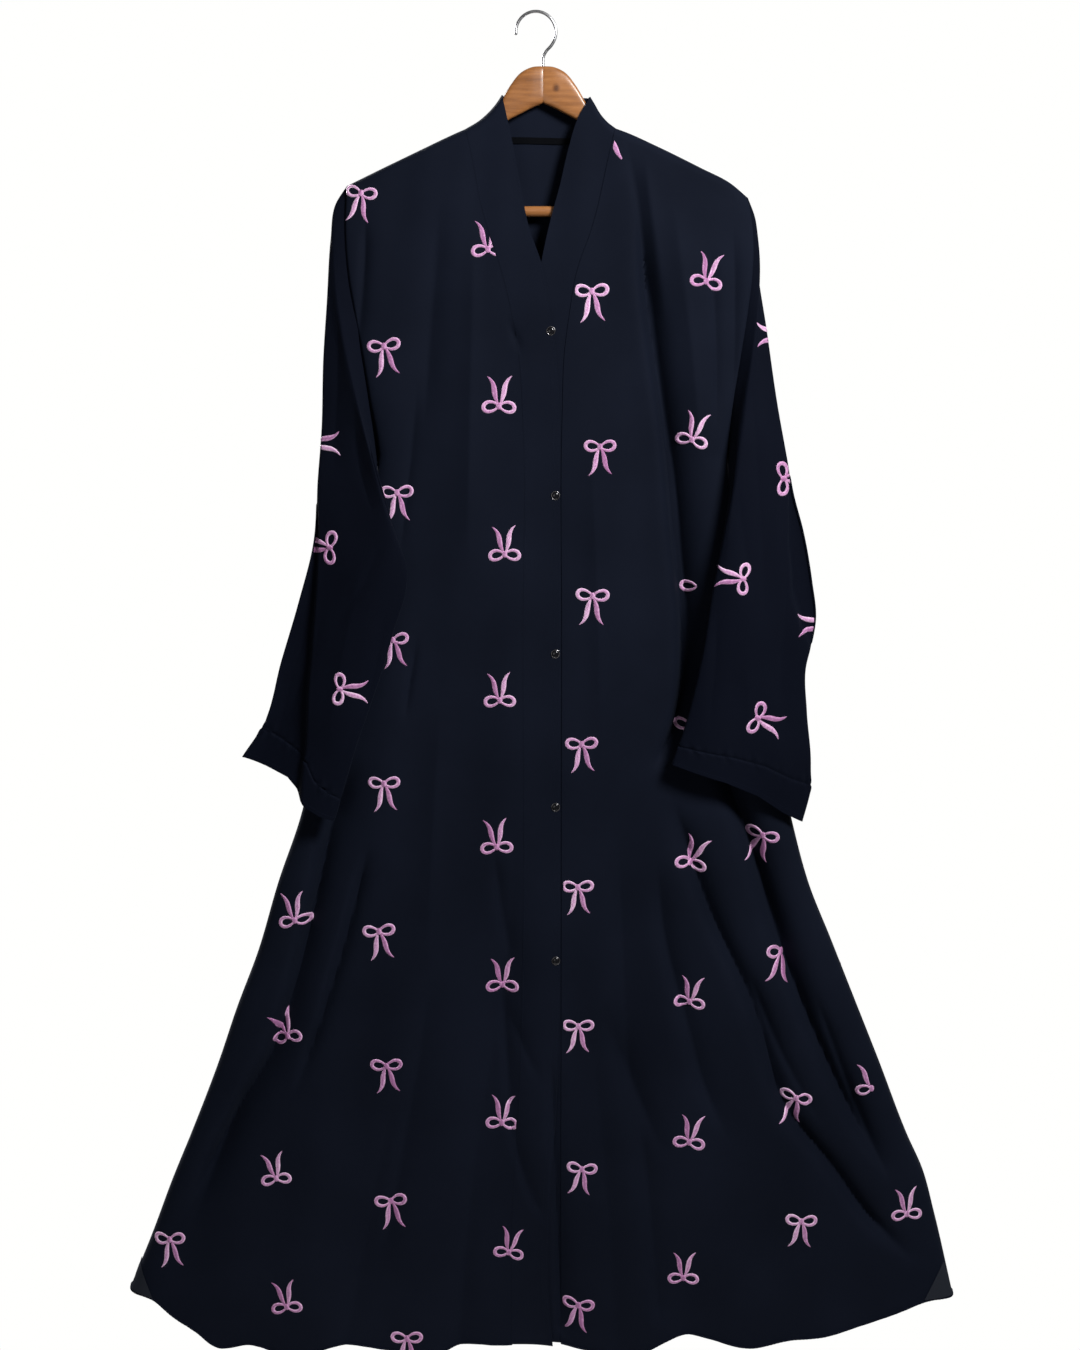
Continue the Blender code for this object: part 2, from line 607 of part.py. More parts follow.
def panel_edges(side_column):
    """Where a panel's edge lies square to the middle plane (shoulder, side seam) or to the armhole."""
    return (
        (0, EVERY, FACING_FRONT), (DOWN_SIDE, side_column, FACING_FRONT), (IN_ARMHOLE, side_column, FACING_SIDE),
    )


# Panels
points = front_left_points()
add("front_left", *wall(points, PANEL_CLOTH, level=panel_edges(0)), CLOTH)
points = front_right_points()[:, ::-1]
add("front_right", *wall(points, PANEL_CLOTH, level=panel_edges(-1)), CLOTH)

points = back_points()[:, ::-1]
shoulders = np.r_[0:SHOULDER_COLUMNS, -SHOULDER_COLUMNS:0]
edges = ((0, shoulders, FACING_FRONT),) + panel_edges(0)[1:] + panel_edges(-1)[1:]
add("back", *wall(points, PANEL_CLOTH, level=edges), CLOTH)

# Bands and collar
fold_edge = ((0, EVERY, FACING_FRONT),)
points = band_points(BAND_SEAM_LEFT, BAND_FREE_LEFT, COLLAR_FOLD_LEFT, -BAND_PROUD)
add("band_left", *wall(points, BAND_CLOTH, level=fold_edge), CLOTH)
points = band_points(BAND_SEAM_RIGHT, BAND_FREE_RIGHT, COLLAR_FOLD_RIGHT, RIGHT_BAND_BEHIND)[:, ::-1]
add("band_right", *wall(points, BAND_CLOTH, level=fold_edge), CLOTH)
points = collar_back_points()[:, ::-1]
collar_ends = ((EVERY, 0, FACING_FRONT), (EVERY, -1, FACING_FRONT))
add("collar_back", *wall(points, BAND_CLOTH, level=collar_ends), CLOTH)

# Sleeves and cuffs
for side in ("left", "right"):
    rows = np.linspace(0, CUFF_START - CUFF_GAP, SLEEVE_RINGS)
    at_armhole = ((0, EVERY, FACING_SIDE),)
    add(f"sleeve_{side}", *wall(tube_grid(side, rows, SLEEVE_SIDES), SLEEVE_CLOTH, True, at_armhole), CLOTH)
    rows = np.linspace(CUFF_START, 1, CUFF_RINGS)
    add(f"cuff_{side}", *wall(tube_grid(side, rows, SLEEVE_SIDES), CUFF_CLOTH, closed=True), CLOTH)

# Snaps and hanger
for number, (x, z) in enumerate(BUTTON_PLACES, 1):
    button(number, x, z)

arm(-1)
arm(1)
round_bar()
hook()
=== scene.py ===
"""The looks of an abaya cloak on its wooden hanger: crepe, satin bows, seams, snaps, wood and hook.

Lengths are millimetres until a mesh is made, then metres. The origin is the inside top of the hanger's hook.
The front faces -Y and +Z is up. Left and right go by side as seen from the front, so left is -X.
"""

import math

import bpy
import numpy as np
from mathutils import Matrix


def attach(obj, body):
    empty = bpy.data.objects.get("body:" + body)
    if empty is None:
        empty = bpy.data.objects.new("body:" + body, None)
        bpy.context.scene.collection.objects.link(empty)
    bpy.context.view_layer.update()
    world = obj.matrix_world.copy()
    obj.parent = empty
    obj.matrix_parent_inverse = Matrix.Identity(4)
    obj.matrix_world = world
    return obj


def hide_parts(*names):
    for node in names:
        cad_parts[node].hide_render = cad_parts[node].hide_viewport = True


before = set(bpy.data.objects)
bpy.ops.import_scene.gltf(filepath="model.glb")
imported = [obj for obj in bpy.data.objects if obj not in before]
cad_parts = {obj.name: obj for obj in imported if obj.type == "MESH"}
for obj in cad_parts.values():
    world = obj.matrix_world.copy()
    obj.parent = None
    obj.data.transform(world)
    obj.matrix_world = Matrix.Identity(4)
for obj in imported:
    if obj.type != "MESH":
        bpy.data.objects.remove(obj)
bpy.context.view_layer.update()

# Cloth
PANEL_CLOTH = 0.9
BAND_CLOTH = 1.5
CUFF_CLOTH = 1.6
PATCH_CLOTH = 0.5
SEAM_GAP = 0.3
SEAM_FLAT = 0.7
SEAM_DIP = 0.9
SEAM_PUCKER = 1.1
CUFF_PROUD = 0.6
FOLD_SHARPNESS = 1.25
FOLD_REACH = 5.0
CREASE_DEPTH = 2.2

# Where the garment hangs
CENTRE_X = 8.0
FOLD_RADIUS = 10.0
CLOSING_POWER = 4.0
BAND_PROUD = 0.3
RIGHT_PANEL_BEHIND = 1.8
RIGHT_BAND_BEHIND = 2.7
SLEEVE_CLEARANCE = 2.5
ARMHOLE_DEPTH = 9.5

# Hanger
HOOK_RADIUS = 22.3
HOOK_WIRE = 3.5
BAR_RADIUS = 6.0
BAR_Z = -215.0
BAR_HALF_LENGTH = 188.0

# Snap buttons
BUTTON_PLACES = ((17.0, -348.0), (22.5, -533.0), (22.5, -715.0), (23.0, -895.0), (23.5, -1079.0))

# Outlines, each a smooth curve through points (x, z)
SHOULDER_LEFT = ((-213, -187), (-175, -169), (-130, -148), (-85, -127.5), (-79, -125))
SHOULDER_RIGHT = ((239, -200), (219, -184), (185, -167), (139, -145), (96, -126.5), (90, -124.5))
COLLAR_FOLD_LEFT = ((-79, -125), (-63, -115.5), (-52, -106), (-43, -95.5), (-38, -88))
COLLAR_FOLD_RIGHT = ((90, -124.5), (80, -117), (72, -108), (66, -98), (61, -90))
ARMHOLE_LEFT = ((-213, -187), (-215, -230), (-212, -285), (-202, -346), (-190, -425), (-182, -488))
ARMHOLE_RIGHT = ((239, -200), (245, -240), (245, -280), (241, -319), (232, -382), (225, -431), (221, -487))
SIDE_LEFT = (
    (-182, -488), (-204, -570), (-228, -655), (-249, -773), (-280, -917), (-306, -990), (-333, -1078),
    (-360, -1148), (-383, -1214), (-420, -1308), (-443, -1363), (-471, -1436), (-498, -1501),
)
SIDE_RIGHT = (
    (221, -487), (236, -570), (252, -655), (275, -773), (304, -921), (325, -995), (352, -1061),
    (382, -1135), (414, -1214), (451, -1308), (471, -1352), (487, -1408), (512, -1509),
)
BAND_SEAM_LEFT = (
    (-79, -125), (-74, -145), (-59, -218), (-43, -267), (-28, -325), (-19, -380), (-15, -447),
    (-15, -700), (-16, -1078), (-21, -1256), (-29, -1391), (-30, -1558),
)
BAND_FREE_LEFT = (
    (-38, -88), (-29, -127), (-18, -182), (-7, -236), (6, -272), (16, -325), (21, -358), (26, -425),
    (28, -538), (28, -900), (28, -1128), (24, -1258), (16, -1393), (16, -1510), (20, -1562),
)
BAND_SEAM_RIGHT = (
    (90, -124.5), (85, -145), (65, -231), (47, -283), (39, -329), (34, -367), (31, -447),
    (31, -700), (31, -1078), (31, -1300), (31, -1558),
)
BAND_FREE_RIGHT = (
    (61, -90), (47, -114), (36, -149), (27, -187), (17, -223), (6, -272), (-3, -325), (-10, -380),
    (-13, -447), (-13, -700), (-14, -1078), (-16, -1300), (-16, -1558),
)
HEM_LEFT = (
    (-498, -1501), (-466, -1507), (-443, -1526), (-414, -1545), (-388, -1564), (-348, -1560),
    (-301, -1573), (-232, -1560), (-180, -1566), (-117, -1570), (-93, -1560), (-30, -1558),
)
HEM_RIGHT = (
    (512, -1509), (475, -1510), (434, -1523), (393, -1538), (350, -1550), (306, -1555), (263, -1562),
    (207, -1552), (182, -1547), (156, -1556), (130, -1569), (103, -1573), (62, -1565), (31, -1558),
)
BACK_NECK = ((-79, -125), (-60, -131), (-29, -135), (41, -135), (72, -131), (90, -124.5))
BACK_HEM = ((-498, -1501), (-380, -1535), (-200, -1552), (8, -1557), (210, -1552), (395, -1538), (512, -1509))

# Sleeves: outer and inner edges (x, z, how far forward)
OUTER_LEFT = (
    (-213, -187, 0), (-226, -207, 0), (-232, -246, 1), (-237, -313, 3), (-242, -380, 6), (-245, -459, 9),
    (-250, -516, 12), (-255, -586, 15), (-273, -655, 17), (-295, -726, 18), (-316, -797, 18),
    (-343, -838, 18),
)
INNER_LEFT = (
    (-182, -488, 0), (-182, -506, 12), (-180, -524, 26), (-169, -550, 37), (-156, -585, 42), (-147, -612, 44),
    (-148, -640, 45), (-161, -682, 46), (-177, -735, 47), (-191, -775, 47), (-207, -820, 47),
    (-221, -866, 47), (-234, -907, 47),
)
OUTER_RIGHT = (
    (239, -200, 0), (247, -220, 0), (251, -277, 1), (262, -344, 3), (276, -431, 6), (288, -493, 9),
    (295, -531, 12), (307, -575, 15), (318, -633, 17), (323, -675, 18), (318, -708, 19), (313, -730, 20),
    (315, -783, 20), (321, -844, 20), (320, -880, 20), (312, -914, 20),
)
INNER_RIGHT = (
    (221, -487, 0), (221, -504, 12), (221, -524, 26), (216, -556, 37), (207, -607, 43), (199, -653, 46),
    (192, -703, 48), (185, -738, 49), (174, -785, 50), (157, -840, 50),
)
# How far down the sleeve (0 top, 1 cuff) the edge of the front layer stands in from the outer edge
STEP_LEFT = ((0.0, -0.1), (0.50, -0.02), (0.62, 0.08), (0.75, 0.27), (0.86, 0.43), (1.0, 0.64))
STEP_RIGHT = (
    (0.0, -0.1), (0.42, -0.02), (0.52, 0.16), (0.60, 0.19), (0.67, 0.13), (0.71, 0.0), (0.74, -0.1),
    (1.0, -0.1),
)
# How much the hem of the cuff rises (+) or drops (-) from a straight line, from outer to inner edge
HEM_RISE_LEFT = ((0.0, 0), (0.25, 8), (0.5, 14), (0.6, 9), (0.68, -4), (0.85, -4), (1.0, 0))
HEM_RISE_RIGHT = ((0.0, 0), (0.15, 1), (0.35, 8), (0.6, 8), (1.0, 0))
STEP_DEPTH = 11.0
SLEEVE_HALF_DEPTH = ((0.0, 9.5), (0.15, 9.0), (0.4, 9.0), (0.7, 9.5), (1.0, 9.0))
CUFF_START = 0.938

# How far the cloth stands out from the middle plane (height, front, back)
BODY_DEPTH = (
    (-60, 10.5, 10.5), (-150, 12.5, 11), (-260, 16, 12), (-400, 20, 14), (-700, 27, 16), (-1000, 33, 18),
    (-1300, 39, 21), (-1580, 44, 24),
)

# Folds of the front: path, width on its left and right, how deep, fading in and out over these heights
FRONT_FOLDS = (
    (((98, -129), (113, -202), (128, -329)), 3, 8, 3.2, 60, 110),
    (((113, -202), (128, -329), (148, -463), (161, -588), (171, -690), (170, -760), (160, -806), (134, -856)),
     5, 15, 27, 130, 60),
    (((150, -420), (163, -588), (173, -690), (172, -760), (160, -806)), 8, 26, 8, 150, 60),
    (((203, -800), (225, -868), (250, -933), (289, -1059), (342, -1194), (404, -1317), (436, -1364)),
     9, 15, 25, 60, 110),
    (((158, -882), (204, -1019), (259, -1139), (302, -1268), (353, -1334), (405, -1406), (469, -1469)),
     9, 15, 19, 80, 70),
    (((143, -955), (150, -1042), (179, -1157), (202, -1240), (237, -1318)), 9, 16, 10, 70, 90),
    (((74, -1130), (118, -1239), (162, -1343)), 12, 18, 8, 80, 90),
    (((-210, -830), (-245, -933), (-271, -1053), (-321, -1206), (-359, -1271), (-426, -1410)),
     8, 19, 23, 80, 110),
    (((-195, -937), (-229, -1069), (-253, -1146), (-293, -1255)), 5, 9, 10, 60, 80),
    (((-190, -215), (-194, -280), (-200, -340), (-204, -380)), 5, 7, 6, 50, 50),
    (((-133, -400), (-145, -509), (-157, -610)), 6, 6, 3, 60, 60),
    (((222, -225), (225, -314), (225, -399), (222, -440)), 9, 9, 5, 60, 60),
    (((-20, -900), (-34, -1080), (-70, -1300), (-96, -1580)), 20, 26, 7, 200, 1),
    (((60, -1100), (80, -1300), (100, -1580)), 22, 26, 6, 200, 1),
    (((-150, -1150), (-190, -1350), (-235, -1580)), 24, 24, 6, 180, 1),
)
BACK_FOLDS = (
    (((-110, -380), (-150, -800), (-260, -1200), (-330, -1560)), 22, 24, 6, 250, 1),
    (((-30, -500), (-45, -900), (-90, -1300), (-110, -1570)), 24, 22, 6, 300, 1),
    (((50, -450), (62, -900), (105, -1300), (130, -1570)), 22, 24, 6, 300, 1),
    (((130, -380), (170, -800), (270, -1200), (345, -1560)), 24, 22, 6, 250, 1),
)

# How far down a side's rows the underarm lies
SEAM_AT_UNDERARM = 0.245

# Half of the hanger: distance from the middle, top and bottom of the wood, half thickness there
ARM_SECTIONS = (
    (0.02, -57, -97, 5.0), (12, -58, -102, 6.0), (24, -63.5, -108, 6.0), (36, -77, -114, 6.0),
    (43, -88, -118, 6.0), (47, -95, -121, 6.0), (60, -112.5, -133, 6.0),
    (78, -127, -147, 6.0), (100, -137.5, -160, 6.0),
    (138, -153.5, -180, 6.0), (178, -172.5, -200, 6.0), (188.3, -177.5, -206, 6.0), (188.8, -178, -221, 6.0),
    (197, -182, -225, 6.0), (205, -187, -226, 5.6), (210, -192.5, -223, 4.6), (213, -199, -216, 2.6),
)


# Curves and walls

def smooth_path(table, fractions):
    """Points on a smooth curve through the rows of a table, at these fractions of its length."""
    rows = np.asarray(table, float)
    knots = np.r_[0.0, np.cumsum(np.linalg.norm(np.diff(rows[:, :2], axis=0), axis=1))]
    slopes = np.gradient(rows, knots, axis=0)
    length = np.asarray(fractions, float) * knots[-1]
    i = np.clip(np.searchsorted(knots, length, side="right") - 1, 0, len(knots) - 2)
    step = (knots[i + 1] - knots[i])[..., None]
    r = (length - knots[i])[..., None] / step
    start = (2 * r**3 - 3 * r**2 + 1) * rows[i] + (r**3 - 2 * r**2 + r) * step * slopes[i]
    end = (3 * r**2 - 2 * r**3) * rows[i + 1] + (r**3 - r**2) * step * slopes[i + 1]
    return start + end


def column_of(table, column):
    """Looks a column up by height, on the smooth curve through a table whose second column is height."""
    fine = smooth_path(table, np.linspace(0, 1, 400))
    order = np.argsort(fine[:, 1])
    return lambda z: np.interp(z, fine[order, 1], fine[order, column])


def soft_step(value):
    """0 below 0, 1 above 1, and an even rise between."""
    t = np.clip(value, 0, 1)
    return t * t * (3 - 2 * t)


def grid_normals(points, closed):
    """Unit normals of a grid of points (rows down, columns across): across x down, divided by its length."""
    down = np.gradient(points, axis=0)
    if closed:
        across = (np.roll(points, -1, axis=1) - np.roll(points, 1, axis=1)) / 2
    else:
        across = np.gradient(points, axis=1)
    normals = np.cross(across, down)
    return normals / np.maximum(np.linalg.norm(normals, axis=2, keepdims=True), 1e-9)


def wall(points, thickness, closed=False):
    """A closed wall: the grid is its outer face, and its inner face is moved in along the normals.

    Columns run so that (across x down) faces inwards.
    """
    inwards = grid_normals(points, closed)
    rows, columns = points.shape[:2]
    outer = points.reshape(-1, 3)
    inner = (points + thickness * inwards).reshape(-1, 3)
    index = np.arange(rows * columns).reshape(rows, columns)
    if closed:
        index = np.concatenate([index, index[:, :1]], axis=1)
    second = index + rows * columns
    quads = [quads_of(index, False), quads_of(second, True)]
    quads.append(edge_quads(index[0], second[0], True))
    quads.append(edge_quads(index[-1], second[-1], False))
    if not closed:
        quads.append(edge_quads(index[:, 0], second[:, 0], False))
        quads.append(edge_quads(index[:, -1], second[:, -1], True))
    return np.concatenate([outer, inner]), np.concatenate(quads)


def quads_of(index, flipped):
    """The quads of a grid of point numbers."""
    quads = np.stack([index[:-1, :-1], index[1:, :-1], index[1:, 1:], index[:-1, 1:]], axis=-1).reshape(-1, 4)
    return quads[:, ::-1] if flipped else quads


def edge_quads(first, second, flipped):
    """The quads between two rows of point numbers."""
    quads = np.stack([first[:-1], second[:-1], second[1:], first[1:]], axis=-1)
    return quads[:, ::-1] if flipped else quads


# Depth of the body

LEFT_EDGE_X = column_of(ARMHOLE_LEFT + SIDE_LEFT[1:], 0)
RIGHT_EDGE_X = column_of(ARMHOLE_RIGHT + SIDE_RIGHT[1:], 0)
TOP_LINE = np.concatenate([
    smooth_path(SHOULDER_LEFT, np.linspace(0, 1, 60)),
    smooth_path(COLLAR_FOLD_LEFT, np.linspace(0, 1, 30))[1:],
    [[-18, -30], [41, -30]],
    smooth_path(COLLAR_FOLD_RIGHT, np.linspace(1, 0, 30)),
    smooth_path(SHOULDER_RIGHT, np.linspace(1, 0, 60))[1:],
])


def armhole_edge(x, z):
    """How far the armhole stands out from the middle plane: a half round, 0 at the tip and the underarm."""
    left = np.asarray(x) < CENTRE_X
    top = np.where(left, ARMHOLE_LEFT[0][1], ARMHOLE_RIGHT[0][1])
    bottom = np.where(left, ARMHOLE_LEFT[-1][1], ARMHOLE_RIGHT[-1][1])
    part = np.clip((top - z) / (top - bottom), 0, 1)
    return ARMHOLE_DEPTH * 2 * np.sqrt(part * (1 - part))


def closing(x, z):
    """1 over the body, falling on a superellipse to 0 at SEAM_FLAT from the side seams and armholes."""
    half = np.where(x < CENTRE_X, CENTRE_X - LEFT_EDGE_X(z), RIGHT_EDGE_X(z) - CENTRE_X)
    s = np.clip(np.abs(x - CENTRE_X) / (half - SEAM_FLAT), 0, 1)
    return (1 - s**CLOSING_POWER) ** (1 / CLOSING_POWER)


def over_the_top(x, z):
    """0 on the shoulder and collar fold, rising in a quarter round to 1 below it."""
    below = np.interp(x, TOP_LINE[:, 0], TOP_LINE[:, 1]) - z
    return np.sqrt(1 - (1 - np.clip(below / FOLD_RADIUS, 0, 1)) ** 2)


def fold_push(folds, x, z):
    """How far folds press the cloth in: the sum of depth * exp(-|off / width| ** FOLD_SHARPNESS)."""
    total = np.zeros(np.broadcast(x, z).shape)
    for path, left_width, right_width, depth, fade_in, fade_out in folds:
        off = x - column_of(path, 0)(z)
        width = np.where(off < 0, left_width, right_width)
        along = soft_step((path[0][1] - z) / fade_in) * soft_step((z - path[-1][1]) / fade_out)
        total = total + depth * along * np.exp(-(np.abs(off / width) ** FOLD_SHARPNESS))
    return total


def fold_floor(x, z):
    """How deep a fold may go: the middle plane at the sides and the hanger, FOLD_REACH past it elsewhere."""
    return SEAM_GAP / 2 - FOLD_REACH * soft_step((closing(x, z) - 0.5) / 0.3) * soft_step((-z - 240) / 60)


def front_depth(x, z, behind=0.0):
    """How far forward of the middle plane the front cloth's outer face is."""
    table = np.asarray(BODY_DEPTH[::-1], float)
    full = np.interp(z, table[:, 0], table[:, 1]) - behind
    edge = armhole_edge(x, z)
    shape = closing(x, z)
    pressed = fold_push(FRONT_FOLDS, x, z) * np.clip(shape * 1.4, 0, 1)
    return np.maximum(((full - edge) * shape + edge - pressed) * over_the_top(x, z), fold_floor(x, z))


def back_depth(x, z):
    """How far behind the middle plane the back cloth's outer face is."""
    table = np.asarray(BODY_DEPTH[::-1], float)
    full = np.interp(z, table[:, 0], table[:, 2])
    edge = armhole_edge(x, z)
    shape = closing(x, z)
    pressed = fold_push(BACK_FOLDS, x, z) * shape
    return np.maximum(((full - edge) * shape + edge - pressed) * over_the_top(x, z), SEAM_GAP / 2)


# Creases of the front: path, width on its left and right, depth (a ridge is negative), fading in and out
CREASES = (
    (((-136, -690), (-145, -741), (-154, -800)), 4, 5, 2.2, 40, 40),
    (((-31, -338), (-24, -355), (-14, -372)), 3, 4, 1.5, 12, 12),
    (((-50, -940), (-42, -1012), (-30, -1090)), 5, 9, 2.4, 50, 50),
    (((-36, -1135), (-14, -1188), (14, -1245)), 6, 9, 1.2, 35, 40),
    (((-41, -1098), (-35, -1213), (-26, -1303), (-7, -1369), (13, -1408)), 4, 11, 2.2, 50, 30),
    (((18, -1190), (22, -1335), (26, -1434), (32, -1550)), 5, 14, 4.2, 70, 10),
    (((-105, -190), (-118, -330), (-128, -470)), 13, 16, 2.6, 90, 90),
    (((-68, -200), (-74, -420), (-80, -640)), 14, 12, -1.8, 120, 140),
    (((150, -185), (172, -330), (192, -520)), 14, 16, -2.4, 90, 120),
    (((120, -150), (136, -260), (148, -350)), 8, 8, -2.0, 50, 80),
    (((-236, -900), (-262, -1010), (-300, -1130)), 3, 7, 2.6, 60, 70),
    (((-205, -960), (-232, -1060), (-262, -1165)), 3, 6, 2.0, 50, 60),
    (((-330, -1190), (-372, -1300), (-420, -1420)), 5, 9, 3.0, 60, 80),
    (((-120, -1080), (-150, -1260), (-190, -1480)), 12, 18, 3.2, 140, 90),
    (((236, -880), (268, -985), (305, -1090)), 4, 8, 3.2, 60, 70),
    (((330, -1120), (380, -1250), (430, -1370)), 4, 9, 3.4, 60, 80),
    (((250, -1090), (290, -1190), (345, -1290)), 4, 8, 2.6, 60, 60),
    (((96, -900), (104, -1100), (122, -1380)), 16, 20, 2.8, 160, 160),
    (((120, -1240), (136, -1380), (150, -1540)), 10, 16, 3.0, 90, 30),
    (((60, -420), (70, -640), (76, -860)), 16, 18, -1.6, 150, 150),
    (((-110, -760), (-122, -960), (-130, -1120)), 18, 14, -2.0, 120, 140),
    (((196, -250), (204, -360), (206, -470)), 5, 8, 2.2, 50, 60),
)
BACK_CREASES = (
    (((-150, -190), (-120, -330), (-96, -470)), 8, 12, 3.0, 80, 90),
    (((176, -190), (146, -330), (118, -480)), 12, 8, 3.0, 80, 100),
    (((-190, -400), (-150, -480), (-100, -600)), 7, 10, 2.4, 60, 80),
    (((215, -420), (176, -500), (128, -640)), 10, 7, 2.4, 60, 80),
    (((-10, -170), (-4, -330), (6, -560)), 20, 20, -2.0, 80, 160),
    (((-70, -720), (-76, -960), (-60, -1180)), 10, 16, 2.8, 140, 150),
    (((96, -680), (120, -900), (150, -1160)), 14, 10, 2.6, 140, 160),
    (((-210, -900), (-270, -1120), (-330, -1330)), 8, 12, 3.4, 120, 130),
    (((226, -880), (290, -1100), (352, -1330)), 12, 8, 3.4, 120, 130),
    (((-160, -1120), (-190, -1300), (-230, -1500)), 12, 16, 3.0, 110, 60),
    (((180, -1150), (210, -1330), (246, -1510)), 16, 12, 3.0, 110, 60),
    (((10, -1060), (16, -1250), (28, -1500)), 18, 14, 3.0, 150, 60),
)
SLEEVE_CREASES = {
    "left": (
        (((-206, -420), (-200, -500), (-178, -570)), 7, 10, 2.6, 60, 50),
        (((-222, -300), (-226, -420), (-232, -520)), 6, 8, 1.8, 70, 70),
        (((-170, -575), (-200, -640), (-236, -690)), 8, 8, 2.2, 40, 40),
        (((-168, -650), (-186, -740), (-208, -820)), 8, 10, 2.4, 60, 60),
        (((-240, -660), (-268, -740), (-298, -810)), 8, 8, 2.0, 60, 60),
        (((-196, -600), (-222, -720), (-244, -840)), 9, 12, -1.8, 70, 70),
    ),
    "right": (
        (((243, -400), (253, -516), (262, -700)), 6, 9, 2.6, 70, 120),
        (((228, -520), (236, -580), (250, -650)), 6, 8, 2.4, 40, 50),
        (((280, -440), (276, -540), (272, -640)), 8, 10, -2.0, 70, 80),
        (((206, -650), (204, -730), (196, -810)), 8, 8, 2.2, 50, 50),
        (((240, -700), (244, -770), (240, -840)), 9, 9, -1.8, 50, 50),
        (((292, -600), (284, -700), (280, -820)), 8, 10, 2.0, 60, 60),
    ),
}

# Bows: x and z of the knot, the turn in degrees (0 has its tails down, 180 up, 90 to the right) and, where a
# fold hides the rest, the parts that show (0 and 1 loops, 2 and 3 tails, 4 the knot)
BOWS_FRONT_LEFT = (
    (-196, -196, -8), (-172, -365, 10), (-159, -530, 4), (-165, -699, 6), (-177, -867, 2), (-185, -1044, 8),
    (-178, -1208, 5), (-175, -1379, 8), (-157, -1551, 0), (-444, -1431, 8),
    (-54, -258, 184), (-42, -432, 180), (-36, -600, 180), (-42, -769, 180), (-46, -942, 182),
    (-40, -1111, 177), (-41, -1280, 177), (-33, -1441, 168),
    (-285, -1033, 188), (-297, -1177, 198), (-312, -1349, 188), (-302, -1511, 186),
)
BOWS_FRONT_RIGHT = (
    (63, -304, 2), (73, -478, 0), (65, -648, 0), (53, -821, 0), (49, -991, 0), (50, -1160, -4),
    (55, -1338, -8), (51, -1509, -8),
    (267, -932, -14), (292, -1076, -10, 0, 2, 3, 4), (311, -1251, -14), (319, -1402, -2),
    (186, -638, 8, 0), (180, -800, 0, 0), (192, -293, 168), (178, -470, 167), (182, -964, 162),
    (182, -1131, 170), (183, -1303, 172), (178, -1475, 175),
    (402, -1241, 186, 1, 3, 4), (448, -1398, 184), (98, -161, 195, 3),
)
# Bows on the sleeves, pressed flat: x and z of the knot and the turn; what lies past an edge turns over it
BOWS_SLEEVE = {
    "left": ((-256, -474, 90), (-236, -592, -96), (-224, -752, 84)),
    "right": ((283, -352, -90), (283, -514, 92), (334, -682, -90), (235, -626, -98), (255, -787, 66)),
}
# Bows on the hidden half of a sleeve: how far down it, and the turn
BOWS_SLEEVE_REAR = ((0.57, 90), (0.82, -90))
BOW_COLUMN_PITCH = 118.0
BOW_ROW_PITCH = 169.0
BOW_COLUMN_DROP = 66.0


# Fine surfaces

def eased(count, power=1.3):
    """Fractions from 0 to 1 as t ** power, closer together at 0."""
    return np.linspace(0, 1, count) ** power


def eased_both(count, pull=0.13):
    """Fractions from 0 to 1 as t - pull * sin(2 pi t), closer together at both ends."""
    t = np.linspace(0, 1, count)
    return t - pull * np.sin(2 * math.pi * t)


def fine_patch(top, bottom, left, right, u, v):
    """A Coons patch: the two ruled surfaces between facing edges, added, less the one through the corners."""
    u = u[None, :, None]
    v = v[:, None, None]
    across = (1 - u) * left[:, None] + u * right[:, None]
    down = (1 - v) * top[None] + v * bottom[None]
    corners = (1 - v) * ((1 - u) * top[0] + u * top[-1]) + v * ((1 - u) * bottom[0] + u * bottom[-1])
    return across + down - corners


def ripples(x, z, seed, height):
    """Slack in the cloth: nine seeded sine waves, 38 to 110 mm across at the shoulders, wider further down."""
    rng = np.random.default_rng(seed)
    fan = (x - CENTRE_X) / (1 - 0.00085 * (z + 200))
    total = np.zeros(np.broadcast(x, z).shape)
    for _ in range(9):
        across = 2 * math.pi / rng.uniform(38, 110)
        down = 2 * math.pi / rng.uniform(350, 1100) * rng.choice((-1, 1))
        total += rng.uniform(0.4, 1) * np.sin(across * fan + down * z + rng.uniform(0, 6.3))
    return height * total / 2.2


def slack(z):
    """How slack the cloth hangs: 0.9 at the shoulders, rising evenly to 2.6 at the hem."""
    return np.interp(-z, (300, 1560), (0.9, 2.6))


def fine_front(x, z, behind=0.0):
    """The front's depth, less its creases and with its slack, both fading at the sides and the top."""
    shape = np.clip(closing(x, z) * 1.3 - 0.3, 0, 1) * over_the_top(x, z)
    relief = ripples(x, z, 11, 1.0) * slack(z) - CREASE_DEPTH * fold_push(CREASES, x, z)
    return np.maximum(front_depth(x, z, behind) + relief * shape, fold_floor(x, z))


def fine_back(x, z):
    """The back's depth, with its own creases and slack."""
    shape = np.clip(closing(x, z) * 1.3 - 0.3, 0, 1) * over_the_top(x, z)
    relief = ripples(x, z, 23, 1.0) * slack(z) - CREASE_DEPTH * fold_push(BACK_CREASES, x, z)
    return np.maximum(back_depth(x, z) + relief * shape, 0.0)


FRONT_LEFT_FACE = (lambda x, z: -fine_front(x, z)), -1
FRONT_RIGHT_FACE = (lambda x, z: -fine_front(x, z, RIGHT_PANEL_BEHIND)), -1
BAND_LEFT_FACE = (lambda x, z: -fine_front(x, z, -BAND_PROUD)), -1
BAND_RIGHT_FACE = (lambda x, z: -fine_front(x, z, RIGHT_BAND_BEHIND)), -1
BACK_FACE = (lambda x, z: fine_back(x, z)), 1
BACK_INSIDE = (lambda x, z: fine_back(x, z) - PANEL_CLOTH), -1


